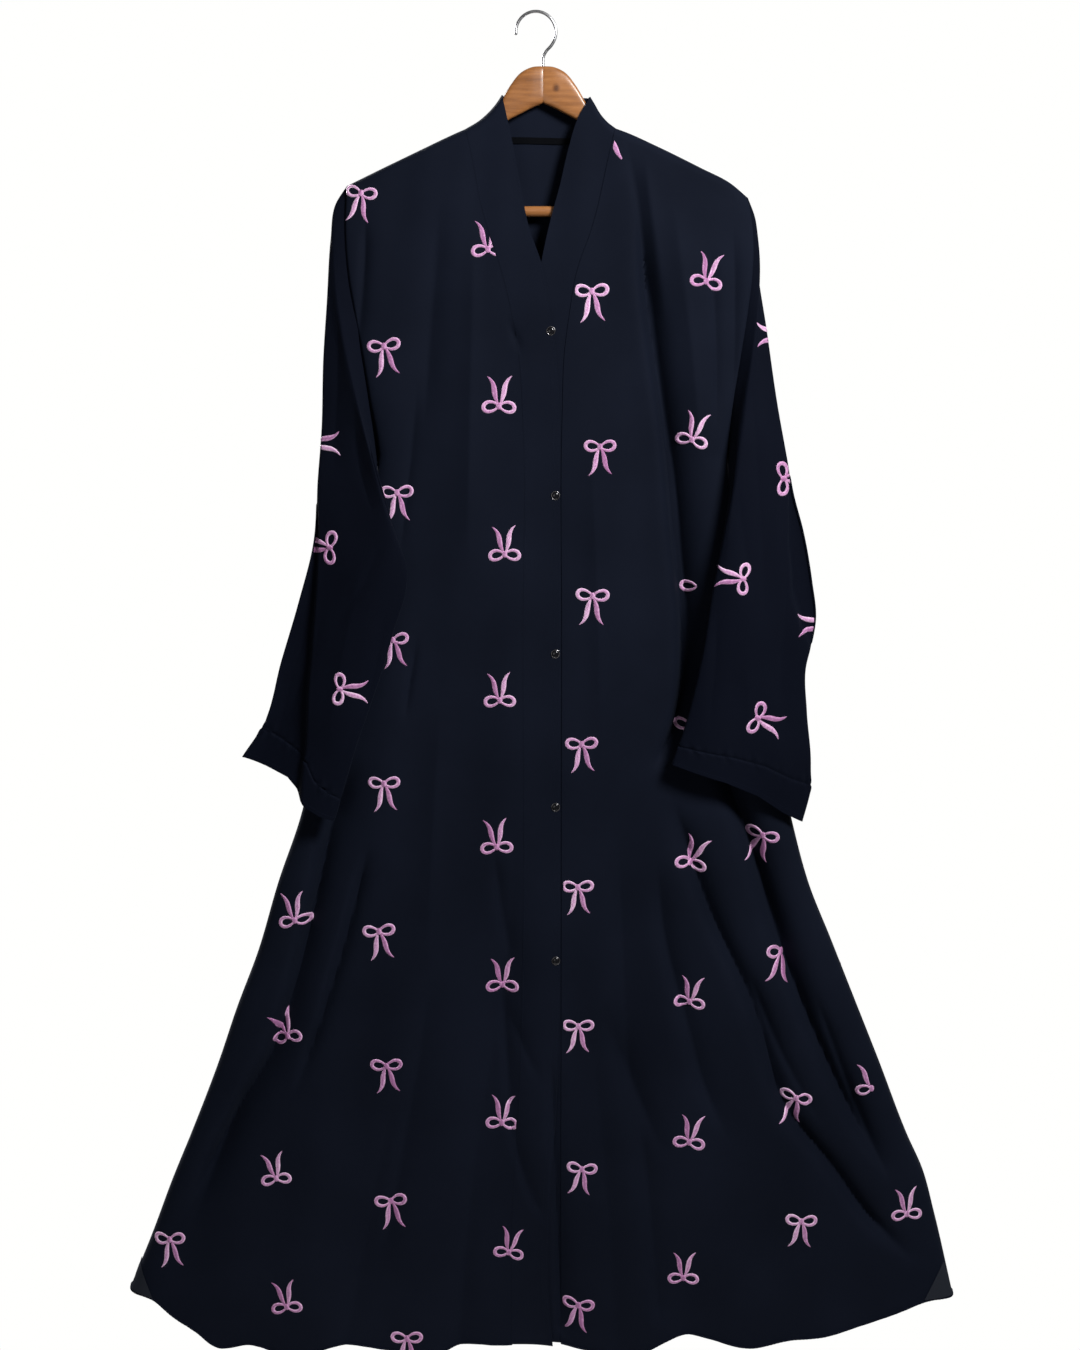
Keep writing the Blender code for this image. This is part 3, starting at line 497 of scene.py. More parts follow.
def on_face(face, x, z):
    """Points on a height field and its outward normals, from its slopes over 1 mm."""
    depth, side = face
    y = depth(x, z)
    across = (depth(x + 0.5, z) - depth(x - 0.5, z)).clip(-4, 4)
    up = (depth(x, z + 0.5) - depth(x, z - 0.5)).clip(-4, 4)
    normals = side * np.stack([-across, np.ones_like(y), -up], axis=-1)
    normals /= np.linalg.norm(normals, axis=-1, keepdims=True)
    return np.stack([x, y, z], axis=-1), normals


ROUND_ROWS = FOLD_RADIUS * (1 - np.cos(np.linspace(0, math.pi / 2, 9))) / 300
FINE_ARMHOLE = np.concatenate([ROUND_ROWS, np.linspace(ROUND_ROWS[-1], 1, 46)[1:]])
FINE_SIDE = np.linspace(0, 1, 190)
FINE_SEAM = np.concatenate([
    FINE_ARMHOLE * SEAM_AT_UNDERARM, SEAM_AT_UNDERARM + (1 - SEAM_AT_UNDERARM) * FINE_SIDE[1:],
])


def fine_side(armhole, side):
    """A panel's side: its armhole and then its side seam."""
    return np.concatenate([smooth_path(armhole, FINE_ARMHOLE), smooth_path(side, FINE_SIDE)[1:]])


def front_grid(face, armhole, side, shoulder, seam, hem, under_band, columns=132):
    """A front panel, from its side edge to just under its band."""
    u = eased(columns)
    flat = fine_patch(smooth_path(shoulder, u), smooth_path(hem, u), fine_side(armhole, side),
                      smooth_path(seam, FINE_SEAM), u, FINE_SEAM)
    flat[:, -1, 0] += under_band
    return on_face(face, flat[..., 0], flat[..., 1])[0]


def back_grid(shoulder_columns=54, neck_columns=48):
    """The back panel, from its left side to its right side."""
    shoulder = eased(shoulder_columns)
    neck = np.linspace(0, 1, neck_columns)[1:-1]
    top = np.concatenate([
        smooth_path(SHOULDER_LEFT, shoulder), smooth_path(BACK_NECK, neck),
        smooth_path(SHOULDER_RIGHT, shoulder[::-1]),
    ])
    u = eased_both(len(top))
    flat = fine_patch(top, smooth_path(BACK_HEM, u), fine_side(ARMHOLE_LEFT, SIDE_LEFT),
                      fine_side(ARMHOLE_RIGHT, SIDE_RIGHT), u, FINE_SEAM)
    return on_face(BACK_FACE, flat[..., 0], flat[..., 1])[0]


BAND_COLUMNS = np.array([0, 1, 2, 3, 4, 6, 8, 10, 13, 16, 20, 24, 27, 30, 32, 34, 36, 37, 38, 39, 40]) / 40


def band_grid(face, seam, free, fold):
    """A band from its seam to its free edge, and from the fold over the shoulder to the hem."""
    left = smooth_path(seam, FINE_SEAM)
    right = smooth_path(free, FINE_SEAM)
    top = smooth_path(fold, BAND_COLUMNS)
    bottom = left[-1] + BAND_COLUMNS[:, None] * (right[-1] - left[-1])
    flat = fine_patch(top, bottom, left, right, BAND_COLUMNS, FINE_SEAM)
    return on_face(face, flat[..., 0], flat[..., 1])[0]


def collar_grid(rows=26, columns=60):
    """The back of the collar, standing up from the back neck behind the hanger."""
    v = np.linspace(0, 1, rows)
    u = eased_both(columns)
    left = smooth_path(COLLAR_FOLD_LEFT, 1 - v)
    right = smooth_path(COLLAR_FOLD_RIGHT, 1 - v)
    top = left[0] + u[:, None] * (right[0] - left[0])
    flat = fine_patch(top, smooth_path(BACK_NECK, u), left, right, u, v)
    return on_face(BACK_FACE, flat[..., 0], flat[..., 1])[0]


# Sleeves

def sleeve_rings(side, down, around):
    """Rings of a sleeve, from its armhole to its cuff.

    Each ring is a flattened round between the outer edge (angle 0) and the inner edge (pi): its front half
    is pushed forward and its rear half back by half_depth * |sin| ** power, and the front steps back
    past step_at.
    """
    tables = SLEEVES[side]
    outer = smooth_path(tables["outer"], down)
    inner = smooth_path(tables["inner"], down)
    armhole = column_of(tables["armhole"], 0)
    f = ((1 - np.cos(around)) / 2)[None, :]
    w = np.asarray(down, float)[:, None]
    x = outer[:, None, 0] + f * (inner - outer)[:, None, 0]
    z = outer[:, None, 1] + f * (inner - outer)[:, None, 1]
    top = tables["armhole"][0]
    bottom = tables["armhole"][-1]
    bow = armhole(top[1] + f * (bottom[1] - top[1])) - (top[0] + f * (bottom[0] - top[0]))
    x = x + (1 - w) ** 3 * bow
    z = z + soft_step((w - 0.7) / 0.3) * np.interp(f, *np.transpose(tables["hem_rise"]))
    forward = outer[:, None, 2] + soft_step(f * 1.15) * (inner - outer)[:, None, 2]
    half = np.interp(w, *np.transpose(SLEEVE_HALF_DEPTH))
    roundness = np.abs(np.sin(around))[None, :] ** (1 - 0.45 * soft_step(w * 4))
    step_at = np.interp(w, *np.transpose(tables["step"]))
    recess = STEP_DEPTH * (1 - soft_step((f - step_at) / 0.05 + 0.5)) * soft_step((w - 0.3) / 0.15)
    relief = (fold_push(SLEEVE_CREASES[side], x, z) - ripples(x, z, 31, 0.7)) * np.minimum(1, roundness * 1.2)
    relief = relief * soft_step(w / 0.1)
    y_front = -forward - half * roundness + recess * np.minimum(1, roundness * 1.2) + relief
    y_rear = -forward + half * roundness + ripples(x, z, 37, 0.9) * roundness * soft_step(w / 0.1)
    inside = np.where(x < CENTRE_X, x - LEFT_EDGE_X(z), RIGHT_EDGE_X(z) - x)
    body = -front_depth(x, z) - SLEEVE_CLEARANCE
    y_rear = np.where((inside > -2.0) & (w > 0.02), np.minimum(y_rear, body), y_rear)
    y_front = np.minimum(y_front, y_rear - 2.8 * roundness)
    y = np.where((np.sin(around) >= -1e-9)[None, :], y_front, y_rear)
    return np.stack([x, y, z], axis=-1)


SLEEVES = {
    "left": {
        "outer": OUTER_LEFT, "inner": INNER_LEFT, "armhole": ARMHOLE_LEFT, "step": STEP_LEFT,
        "hem_rise": HEM_RISE_LEFT,
    },
    "right": {
        "outer": OUTER_RIGHT, "inner": INNER_RIGHT, "armhole": ARMHOLE_RIGHT, "step": STEP_RIGHT,
        "hem_rise": HEM_RISE_RIGHT,
    },
}
SLEEVE_ROWS = 150
CUFF_ROWS = 26
RING_COUNT = 180
SLEEVE_LENGTH = 700.0


def puckered(points, normals, rows_away, seed):
    """Gathers cloth beside a seam: waves about 12 mm long round the ring, fading over 12 mm from the seam."""
    rng = np.random.default_rng(seed)
    length = np.cumsum(np.linalg.norm(np.diff(points, axis=1, append=points[:, :1]), axis=2), axis=1)
    wave = np.sin(2 * math.pi * length / 12.5) + 0.7 * np.sin(2 * math.pi * length / 19 + 1.3)
    strength = np.interp(length, np.linspace(0, 260, 30), rng.uniform(0.2, 1.0, 30))
    fade = np.exp(-((rows_away / 9.0) ** 2))[:, None]
    return points + (SEAM_PUCKER * wave * strength * fade)[..., None] * normals


def outward(points, closed, side):
    """Outward unit normals of a sleeve grid, whose rings run from the outer edge over the front."""
    normals = -grid_normals(points, closed)
    return normals if side == "left" else -normals


def sleeve_grid(side):
    """(points, normals, distance of each row from the cuff's seam in mm) of a sleeve and of its cuff.

    Both dip into the seam by SEAM_DIP * exp(-(away / 2.5) ** 2), and the cuff stands out by its second layer.
    """
    around = np.linspace(0, 2 * math.pi, RING_COUNT, endpoint=False)
    last_rows = CUFF_START - (0.03 * eased(12, 1.6))[::-1]
    middle_rows = np.linspace(0.02, last_rows[0], SLEEVE_ROWS)[1:]
    down = np.concatenate([np.linspace(0, 0.02, 8), middle_rows, last_rows[1:]])
    cuff_down = CUFF_START + (1 - CUFF_START) * eased(CUFF_ROWS, 1.3)
    grids = []
    for rows, layer in ((down, 0.0), (cuff_down, CUFF_PROUD)):
        points = sleeve_rings(side, rows, around)
        normals = outward(points, True, side)
        away = np.abs(rows - CUFF_START) * SLEEVE_LENGTH
        rise = layer * soft_step(away / 1.5) - SEAM_DIP * np.exp(-((away / 2.5) ** 2))
        points = points + rise[:, None, None] * normals
        grids.append((puckered(points, normals, away, 5), normals, away))
    return grids


# Meshes

CLOTH_EDGE_ANGLE = math.radians(55)


def add(name, parts, coats, tone_and_sheen=None):
    """Makes one object from parts: (points in mm, faces, UV in mm or None, number of the material)."""
    mesh = bpy.data.meshes.new(name)
    points = np.concatenate([part[0] for part in parts]) / 1000
    offsets = np.cumsum([0] + [len(part[0]) for part in parts])
    faces = []
    numbers = []
    for (_, part_faces, _, number), offset in zip(parts, offsets):
        for block in part_faces if isinstance(part_faces, list) else [part_faces]:
            faces += (np.asarray(block) + offset).tolist()
            numbers += [number] * len(block)
    mesh.from_pydata(points.tolist(), [], faces)
    mesh.polygons.foreach_set("use_smooth", np.ones(len(faces), bool))
    mesh.polygons.foreach_set("material_index", np.array(numbers, np.int32))
    if parts[0][2] is not None:
        flat = np.concatenate([part[2] for part in parts]) / 1000
        corner = np.empty(len(mesh.loops), np.int32)
        mesh.loops.foreach_get("vertex_index", corner)
        mesh.uv_layers.new(name="cloth").uv.foreach_set("vector", flat[corner].astype(np.float32).ravel())
    if tone_and_sheen is not None:
        mesh.attributes.new("tone_and_sheen", "FLOAT", "POINT").data.foreach_set("value", tone_and_sheen.astype(np.float32))
    mesh.set_sharp_from_angle(angle=CLOTH_EDGE_ANGLE)
    for coat in coats:
        mesh.materials.append(coat)
    mesh.validate()
    thing = bpy.data.objects.new(name, mesh)
    bpy.context.scene.collection.objects.link(thing)
    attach(thing, "root")
    return thing


def shell(points, thickness, closed=False):
    """(points, faces, UV, 0) of a thin wall whose outer face is the grid.

    UV is (x, z) on a panel, and the path length across and down on a closed tube.
    """
    wall_points, faces = wall(points, thickness, closed)
    down = np.concatenate([np.zeros_like(points[:1, :, 0]),
                           np.cumsum(np.linalg.norm(np.diff(points, axis=0), axis=2), axis=0)])
    flat = np.stack([points[..., 0], points[..., 2]], axis=-1)
    if closed:
        across = np.cumsum(np.linalg.norm(np.diff(points, axis=1, prepend=points[:, :1]), axis=2), axis=1)
        flat = np.stack([across, down], axis=-1)
    flat = flat.reshape(-1, 2)
    return wall_points, faces, np.concatenate([flat, flat]), 0


def tube(path, radius, count=8, closed_ends=True):
    """A round bead along a path: rings of count points square to it, with one radius or one for each ring."""
    path = np.asarray(path, float)
    tangent = np.gradient(path, axis=0)
    tangent /= np.maximum(np.linalg.norm(tangent, axis=1, keepdims=True), 1e-9)
    guide = np.where(np.abs(tangent[:, 1:2]) > 0.9, np.array([[1.0, 0, 0]]), np.array([[0, 1.0, 0]]))
    first = np.cross(tangent, guide)
    first /= np.linalg.norm(first, axis=1, keepdims=True)
    second = np.cross(tangent, first)
    angle = np.linspace(0, 2 * math.pi, count, endpoint=False)
    radius = np.broadcast_to(np.asarray(radius, float), len(path))[:, None, None]
    ring = first[:, None] * np.cos(angle)[None, :, None] + second[:, None] * np.sin(angle)[None, :, None]
    points = (path[:, None] + radius * ring).reshape(-1, 3)
    index = np.arange(len(points)).reshape(len(path), count)
    index = np.concatenate([index, index[:, :1]], axis=1)
    faces = [quads_of(index, True)]
    if closed_ends:
        faces += [index[:1, :-1][:, ::-1], index[-1:, :-1]]
    return points, faces


# Satin bows, on a plane of (across, up) in mm with the knot at (0, 0)

STITCH_BASE = -0.25
LOOP_LENGTH = 16.4
LOOP_HEIGHT = 6.2


def ribbon(path, width, dome, rows_across=7):
    """A raised ribbon: path + c * width / 2 across it, dome * sqrt(1 - c * c) high, for c from -1 to 1."""
    tangent = np.gradient(path, axis=0)
    tangent /= np.linalg.norm(tangent, axis=1, keepdims=True)
    normal = np.stack([-tangent[:, 1], tangent[:, 0]], axis=1)
    c = np.sin(np.linspace(-math.pi / 2, math.pi / 2, rows_across))
    flat = path[:, None] + c[None, :, None] * (width / 2)[:, None, None] * normal[:, None]
    rise = (dome - STITCH_BASE) * np.sqrt(1 - c * c)[None, :]
    height = STITCH_BASE + rise * np.minimum(1, width / 3)[:, None]
    points = np.concatenate([flat, height[..., None]], axis=2)
    length = np.r_[0, np.cumsum(np.linalg.norm(np.diff(path, axis=0), axis=1))]
    uv = np.stack(np.broadcast_arrays(length[:, None], c[None, :] * 3), axis=-1)
    index = np.arange(points.shape[0] * rows_across).reshape(-1, rows_across)
    index = np.concatenate([index, index[:, :1]], axis=1)
    faces = [quads_of(index, False), index[:1, :-1], index[-1:, :-1][:, ::-1]]
    return points.reshape(-1, 3), faces, uv.reshape(-1, 2)


def bow_loop(side):
    """A teardrop from the knot: x = L (1 - cos t) / 2 + 0.6, y = H sin t * sin(t / 2) ** 0.5 + x / 10."""
    t = np.linspace(0.12, 2 * math.pi - 0.12, 32)
    x = LOOP_LENGTH * (1 - np.cos(t)) / 2 + 0.6
    y = LOOP_HEIGHT * np.sin(t) * np.sin(t / 2) ** 0.5 + 0.1 * x
    path = np.stack([side * x, y], axis=1)
    return ribbon(path, 2.4 + 2.3 * np.sin(t / 2) ** 2, 1.0)


# A tail's middle line (across, up) and width, from the knot to its turned-out tip
BOW_TAIL = (
    (1.4, -2.5, 1.8), (3.2, -7, 3.9), (4.6, -12, 5.6), (5.4, -17, 6.2), (6.2, -22, 5.6), (8.2, -27, 4.0),
    (11.2, -31, 2.2), (14.0, -33.5, 0.4),
)


def bow_tail(side, stretch):
    """A tail on the smooth path of its table, stretched a little downwards."""
    table = smooth_path(BOW_TAIL, np.linspace(0, 1, 20))
    return ribbon(table[:, :2] * (side, stretch), np.maximum(table[:, 2], 0.3), 0.9)


def bow_knot():
    """An oval knot over the middle."""
    t = np.linspace(0.03, 0.97, 9)
    path = np.stack([np.zeros(9), 4.0 - 8.0 * t], axis=1)
    return ribbon(path, 6.6 * np.sqrt(np.sin(math.pi * t)), 1.7)


# Left loop, right loop, left tail, right tail and knot, each with its painted sheen: how light its threads
# look in the light, darker on the right tail and the knot
BOW_PARTS = (
    (bow_loop(-1), 0.05), (bow_loop(1), -0.05), (bow_tail(-1, 1.0), 0.05), (bow_tail(1, 0.96), -0.3),
    (bow_knot(), -0.2),
)


def sewn_bow(chosen):
    """(points, faces, UV, tone_and_sheen) of one bow, of the chosen parts."""
    offset = 0
    points, faces, uv, tone_and_sheen = [], [], [], []
    for (part, part_faces, part_uv), shade in [BOW_PARTS[number] for number in chosen]:
        points.append(part)
        faces += [block + offset for block in part_faces]
        uv.append(part_uv)
        tone_and_sheen.append(np.full(len(part), shade))
        offset += len(part)
    return np.concatenate(points), faces, np.concatenate(uv), np.concatenate(tone_and_sheen)


WHOLE_BOW = (0, 1, 2, 3, 4)
SLEEVE_STEEP = 0.7
SLEEVE_SLIP = 0.5


def turned(flat, degrees):
    """Points of a plane turned about (0, 0)."""
    a = math.radians(degrees)
    return np.stack([flat[:, 0] * math.cos(a) - flat[:, 1] * math.sin(a),
                     flat[:, 0] * math.sin(a) + flat[:, 1] * math.cos(a)], axis=1)


def kept_faces(faces, lost):
    """The faces that still have a point inside the outline."""
    return [block[~lost[block].all(axis=1)] for block in faces]


def bows_on_panel(name, face, places, outline, seed):
    """Bows on a height field, cut off where outline(x, z) moves their points back to a seam."""
    rng = np.random.default_rng(seed)
    parts, tones_and_sheen = [], []
    for x, z, turn, *chosen in places:
        shape, faces, uv, shade = sewn_bow(chosen or WHOLE_BOW)
        size = rng.uniform(0.97, 1.04)
        flat = turned(shape[:, :2] * size, turn + rng.uniform(-3, 3)) + (x, z)
        inside = outline(flat)
        lost = np.abs(inside - flat).max(axis=1) > 1e-6
        keep = kept_faces(faces, lost)
        if sum(len(block) for block in keep) < 12:
            continue
        at, normals = on_face(face, inside[:, 0], inside[:, 1])
        parts.append((at + normals * shape[:, 2:], keep, uv, 0))
        tones_and_sheen.append(shade + rng.uniform(-0.15, 0.15))
    piece = add(name, parts, [SATIN], np.concatenate(tones_and_sheen))
    return piece


def bows_on_sleeve(name, side, grid):
    """Bows laid on a sleeve pressed flat: what reaches past its outer or inner edge turns over."""
    rng = np.random.default_rng(7)
    shape, faces, uv, shade = sewn_bow(WHOLE_BOW)
    parts, tones_and_sheen = [], []
    outer, inner = SLEEVES[side]["outer"], SLEEVES[side]["inner"]
    places = [(x, z, turn, False) for x, z, turn in BOWS_SLEEVE[side]]
    for down, turn in BOWS_SLEEVE_REAR:
        middle = (smooth_path(outer, [down])[0] + smooth_path(inner, [down])[0]) / 2
        places.append((middle[0], middle[1], turn, True))
    for x, z, turn, rear in places:
        flat = turned(shape[:, :2] * rng.uniform(0.97, 1.04), turn) + (x, z)
        outwards = -1 if side == "left" else 1
        flat, past_outer = folded_over(outer, flat, outwards)
        flat, past_inner = folded_over(inner, flat, -outwards)
        on_rear = past_outer ^ past_inner ^ rear
        front_at, front_out = on_sleeve(grid, flat, slice(0, RING_COUNT // 2 + 1))
        rear_at, rear_out = on_sleeve(grid, flat, slice(RING_COUNT // 2, RING_COUNT))
        at = np.where(on_rear[:, None], rear_at, front_at)
        out = np.where(on_rear[:, None], rear_out, front_out)
        parts.append((at + out * shape[:, 2:], mirrored(faces) if rear else faces, uv, 0))
        tones_and_sheen.append(shade + rng.uniform(-0.15, 0.15))
    piece = add(name, parts, [SATIN], np.concatenate(tones_and_sheen))
    return piece


def mirrored(faces):
    """The same faces, turned the other way."""
    return [block[:, ::-1] for block in faces]


def folded_over(edge, flat, outwards):
    """Folds what lies past a sleeve's edge back over it: p - 2 * (how far past) * (its outward normal)."""
    line = smooth_path(edge, np.linspace(0, 1, 300))[:, :2]
    tangent = np.gradient(line, axis=0)
    tangent /= np.linalg.norm(tangent, axis=1, keepdims=True)
    normal = outwards * np.stack([-tangent[:, 1], tangent[:, 0]], axis=1)
    nearest = np.argmin(((flat[:, None] - line[None]) ** 2).sum(axis=2), axis=1)
    far = ((flat - line[nearest]) * normal[nearest]).sum(axis=1)
    past = far > 0
    return flat - 2 * (far * past)[:, None] * normal[nearest], past


def on_sleeve(grid, flat, columns):
    """Points over (x, z) on one half of a sleeve and their normals.

    Each lies on a weighted mean of the planes at its three nearest grid points, no steeper than SLEEVE_STEEP
    and no more than SLEEVE_SLIP mm past their y.
    """
    points, normals, _ = grid
    points = points[:, columns].reshape(-1, 3)
    normals = normals[:, columns].reshape(-1, 3)
    away = (points[None, :, 0] - flat[:, :1]) ** 2 + (points[None, :, 2] - flat[:, 1:]) ** 2
    chosen = np.argpartition(away, 3, axis=1)[:, :3]
    weight = 1 / (np.take_along_axis(away, chosen, axis=1) + 0.3)
    weight /= weight.sum(axis=1, keepdims=True)
    near, out = points[chosen], normals[chosen]
    steep = np.sign(out[..., 1]) * np.maximum(np.abs(out[..., 1]), SLEEVE_STEEP)
    y = near[..., 1] - ((flat[:, None] - near[..., [0, 2]]) * out[..., [0, 2]]).sum(axis=2) / steep
    lowest, highest = near[..., 1].min(axis=1), near[..., 1].max(axis=1)
    y = np.clip((y * weight).sum(axis=1), lowest - SLEEVE_SLIP, highest + SLEEVE_SLIP)
    out = (out * weight[..., None]).sum(axis=1)
    out /= np.linalg.norm(out, axis=1, keepdims=True)
    return np.stack([flat[:, 0], y, flat[:, 1]], axis=1), out


def panel_outline(side_x, seam_x, hem, margin=1.2):
    """Moves points back inside a panel: between its side and seam, under its shoulder, above its hem."""
    hem_line = smooth_path(hem, np.linspace(0, 1, 300))
    hem_line = hem_line[np.argsort(hem_line[:, 0])]

    def inside(flat):
        z = np.clip(flat[:, 1], np.interp(flat[:, 0], hem_line[:, 0], hem_line[:, 1]) + margin + 1,
                    np.interp(flat[:, 0], TOP_LINE[:, 0], TOP_LINE[:, 1]) - margin)
        edges = np.sort(np.stack([side_x(z), seam_x(z)]), axis=0)
        return np.stack([np.clip(flat[:, 0], edges[0] + margin, edges[1] - margin), z], axis=1)

    return inside


def back_lattice():
    """The back's bows: columns of upright and upside-down bows in turn, every second column lower."""
    places = []
    for column in range(-4, 5):
        for row in range(0, 10):
            upside_down = column % 2
            x = CENTRE_X + 4 + column * BOW_COLUMN_PITCH
            z = -182 - row * BOW_ROW_PITCH - (BOW_COLUMN_DROP if upside_down else 0)
            places.append((x, z, 180 if upside_down else 0))
    left, right = LEFT_EDGE_X, RIGHT_EDGE_X
    return [p for p in places if left(p[1]) - 6 < p[0] < right(p[1]) + 6 and p[1] > -1560]


# Stitches

def stitches(points, normals, length=2.5, pitch=3.4, width=0.5, height=0.35):
    """A row of stitches along a line: each is a small lozenge of 8 triangles, length by width by height."""
    far = np.r_[0, np.cumsum(np.linalg.norm(np.diff(points, axis=0), axis=1))]
    at = np.arange(pitch, far[-1] - pitch, pitch)
    centre = np.stack([np.interp(at, far, points[:, k]) for k in range(3)], axis=1)
    out = np.stack([np.interp(at, far, normals[:, k]) for k in range(3)], axis=1)
    ahead = np.stack([np.interp(at + 0.5, far, points[:, k]) for k in range(3)], axis=1) - centre
    ahead /= np.linalg.norm(ahead, axis=1, keepdims=True)
    aside = np.cross(out, ahead)
    corners = np.stack([
        centre - ahead * length / 2, centre + ahead * length / 2, centre - aside * width / 2,
        centre + aside * width / 2, centre - out * height / 2, centre + out * height,
    ], axis=1)
    faces = np.array([(1, 3, 5), (3, 0, 5), (0, 2, 5), (2, 1, 5), (3, 1, 4), (0, 3, 4), (2, 0, 4), (1, 2, 4)])
    index = (np.arange(len(at)) * 6)[:, None, None] + faces[None]
    return corners.reshape(-1, 3), index.reshape(-1, 3)


def stitch_line(face, path, shift, start=0.0, stop=1.0):
    """Stitches on a height field beside a path (x, z), shifted sideways by shift mm."""
    flat = smooth_path(path, np.linspace(start, stop, 700))
    tangent = np.gradient(flat, axis=0)
    tangent /= np.linalg.norm(tangent, axis=1, keepdims=True)
    flat = flat + shift * np.stack([-tangent[:, 1], tangent[:, 0]], axis=1)
    points, normals = on_face(face, flat[:, 0], flat[:, 1])
    return stitches(points, normals)


def ring_stitches(grid, row):
    """Stitches round a sleeve on one of its rows."""
    points, normals, _ = grid
    ring = np.concatenate([points[row], points[row][:1]])
    out = np.concatenate([normals[row], normals[row][:1]])
    return stitches(ring, out)


# Materials

class Coat:
    """A material under construction: short calls that add nodes and join them."""

    def __init__(self, name, colour, roughness, metallic=0.0, specular=0.5):
        self.made = bpy.data.materials.new(name)
        self.made.use_nodes = True
        self.tree = self.made.node_tree
        self.shader = self.tree.nodes["Principled BSDF"]
        self.shader.inputs["Base Color"].default_value = (*colour, 1)
        self.shader.inputs["Roughness"].default_value = roughness
        self.shader.inputs["Metallic"].default_value = metallic
        self.shader.inputs["Specular IOR Level"].default_value = specular
        self.made.diffuse_color = (*colour, 1)

    def node(self, kind, inputs=(), **settings):
        made = self.tree.nodes.new(kind)
        for name, value in settings.items():
            setattr(made, name, value)
        for name, value in dict(inputs).items():
            if isinstance(value, bpy.types.NodeSocket):
                self.tree.links.new(value, made.inputs[name])
            else:
                made.inputs[name].default_value = value
        return made

    def place(self, kind="Object", scale=(1, 1, 1), turn=(0, 0, 0)):
        """Object or UV coordinates, turned and scaled."""
        source = self.node("ShaderNodeTexCoord").outputs[kind]
        made = self.node("ShaderNodeMapping", {"Vector": source, "Scale": scale, "Rotation": turn})
        return made.outputs["Vector"]

    def noise(self, vector, scale, detail=3.0, roughness=0.5, distortion=0.0):
        made = self.node("ShaderNodeTexNoise", {
            "Vector": vector, "Scale": scale, "Detail": detail, "Roughness": roughness,
            "Distortion": distortion,
        })
        return made.outputs["Fac"]

    def ramp(self, factor, stops):
        made = self.node("ShaderNodeValToRGB", {"Fac": factor})
        elements = made.color_ramp.elements
        while len(elements) < len(stops):
            elements.new(0.5)
        for element, (position, colour) in zip(elements, stops):
            element.position = position
            element.color = (*colour, 1)
        return made.outputs["Color"]

    def span(self, factor, low, high, out_low, out_high):
        made = self.node("ShaderNodeMapRange", {
            "Value": factor, "From Min": low, "From Max": high, "To Min": out_low, "To Max": out_high,
        })
        return made.outputs["Result"]

    def sum(self, first, second, operation="ADD"):
        return self.node("ShaderNodeMath", {0: first, 1: second}, operation=operation).outputs[0]

    def bump(self, height, distance, strength=1.0, below=None):
        inputs = {"Height": height, "Distance": distance, "Strength": strength}
        if below is not None:
            inputs["Normal"] = below
        return self.node("ShaderNodeBump", inputs).outputs["Normal"]

    def set(self, name, value):
        if isinstance(value, bpy.types.NodeSocket):
            self.tree.links.new(value, self.shader.inputs[name])
        else:
            self.shader.inputs[name].default_value = value


CREPE_DARK = (0.0040, 0.0058, 0.0122)
CREPE_LIGHT = (0.0060, 0.0084, 0.0172)


def crepe(name="crepe", lift=1.0, tint=(0, 0, 0)):
    """Black navy crepe: a pebbled grain of twisted yarns over a fine plain weave, slightly uneven.

    The colour is lift * navy + tint.
    """
    coat = Coat(name, CREPE_LIGHT, 0.78, specular=0.05)
    flat = coat.place("UV")
    solid = coat.place("Object")
    cloudy = coat.noise(solid, 7.0, 3.0)
    grain = coat.noise(coat.place("UV", (1.0, 0.45, 1.0)), 2600.0, 2.0, 0.6)
    both = coat.sum(coat.span(cloudy, 0.3, 0.7, 0.0, 0.7), coat.span(grain, 0.35, 0.65, 0.0, 0.3))
    dark = tuple(lift * v + t for v, t in zip(CREPE_DARK, tint))
    light = tuple(lift * v + t for v, t in zip(CREPE_LIGHT, tint))
    coat.set("Base Color", coat.ramp(both, ((0.1, dark), (0.9, light))))
    coat.set("Roughness", coat.span(grain, 0.3, 0.7, 0.66, 0.84))
    coat.set("Sheen Weight", 0.02)
    coat.set("Sheen Roughness", 0.5)
    coat.set("Sheen Tint", (0.55, 0.68, 1.0, 1))
    yarn = {"Vector": flat, "Scale": 520.0, "Distortion": 1.2, "Detail": 1.0}
    warp, weft = [coat.node("ShaderNodeTexWave", yarn, bands_direction=way).outputs["Fac"] for way in "XY"]
    weave = coat.bump(coat.sum(warp, weft), 0.00010, 0.5)
    coat.set("Normal", coat.bump(grain, 0.00025, 0.6, weave))
    return coat.made


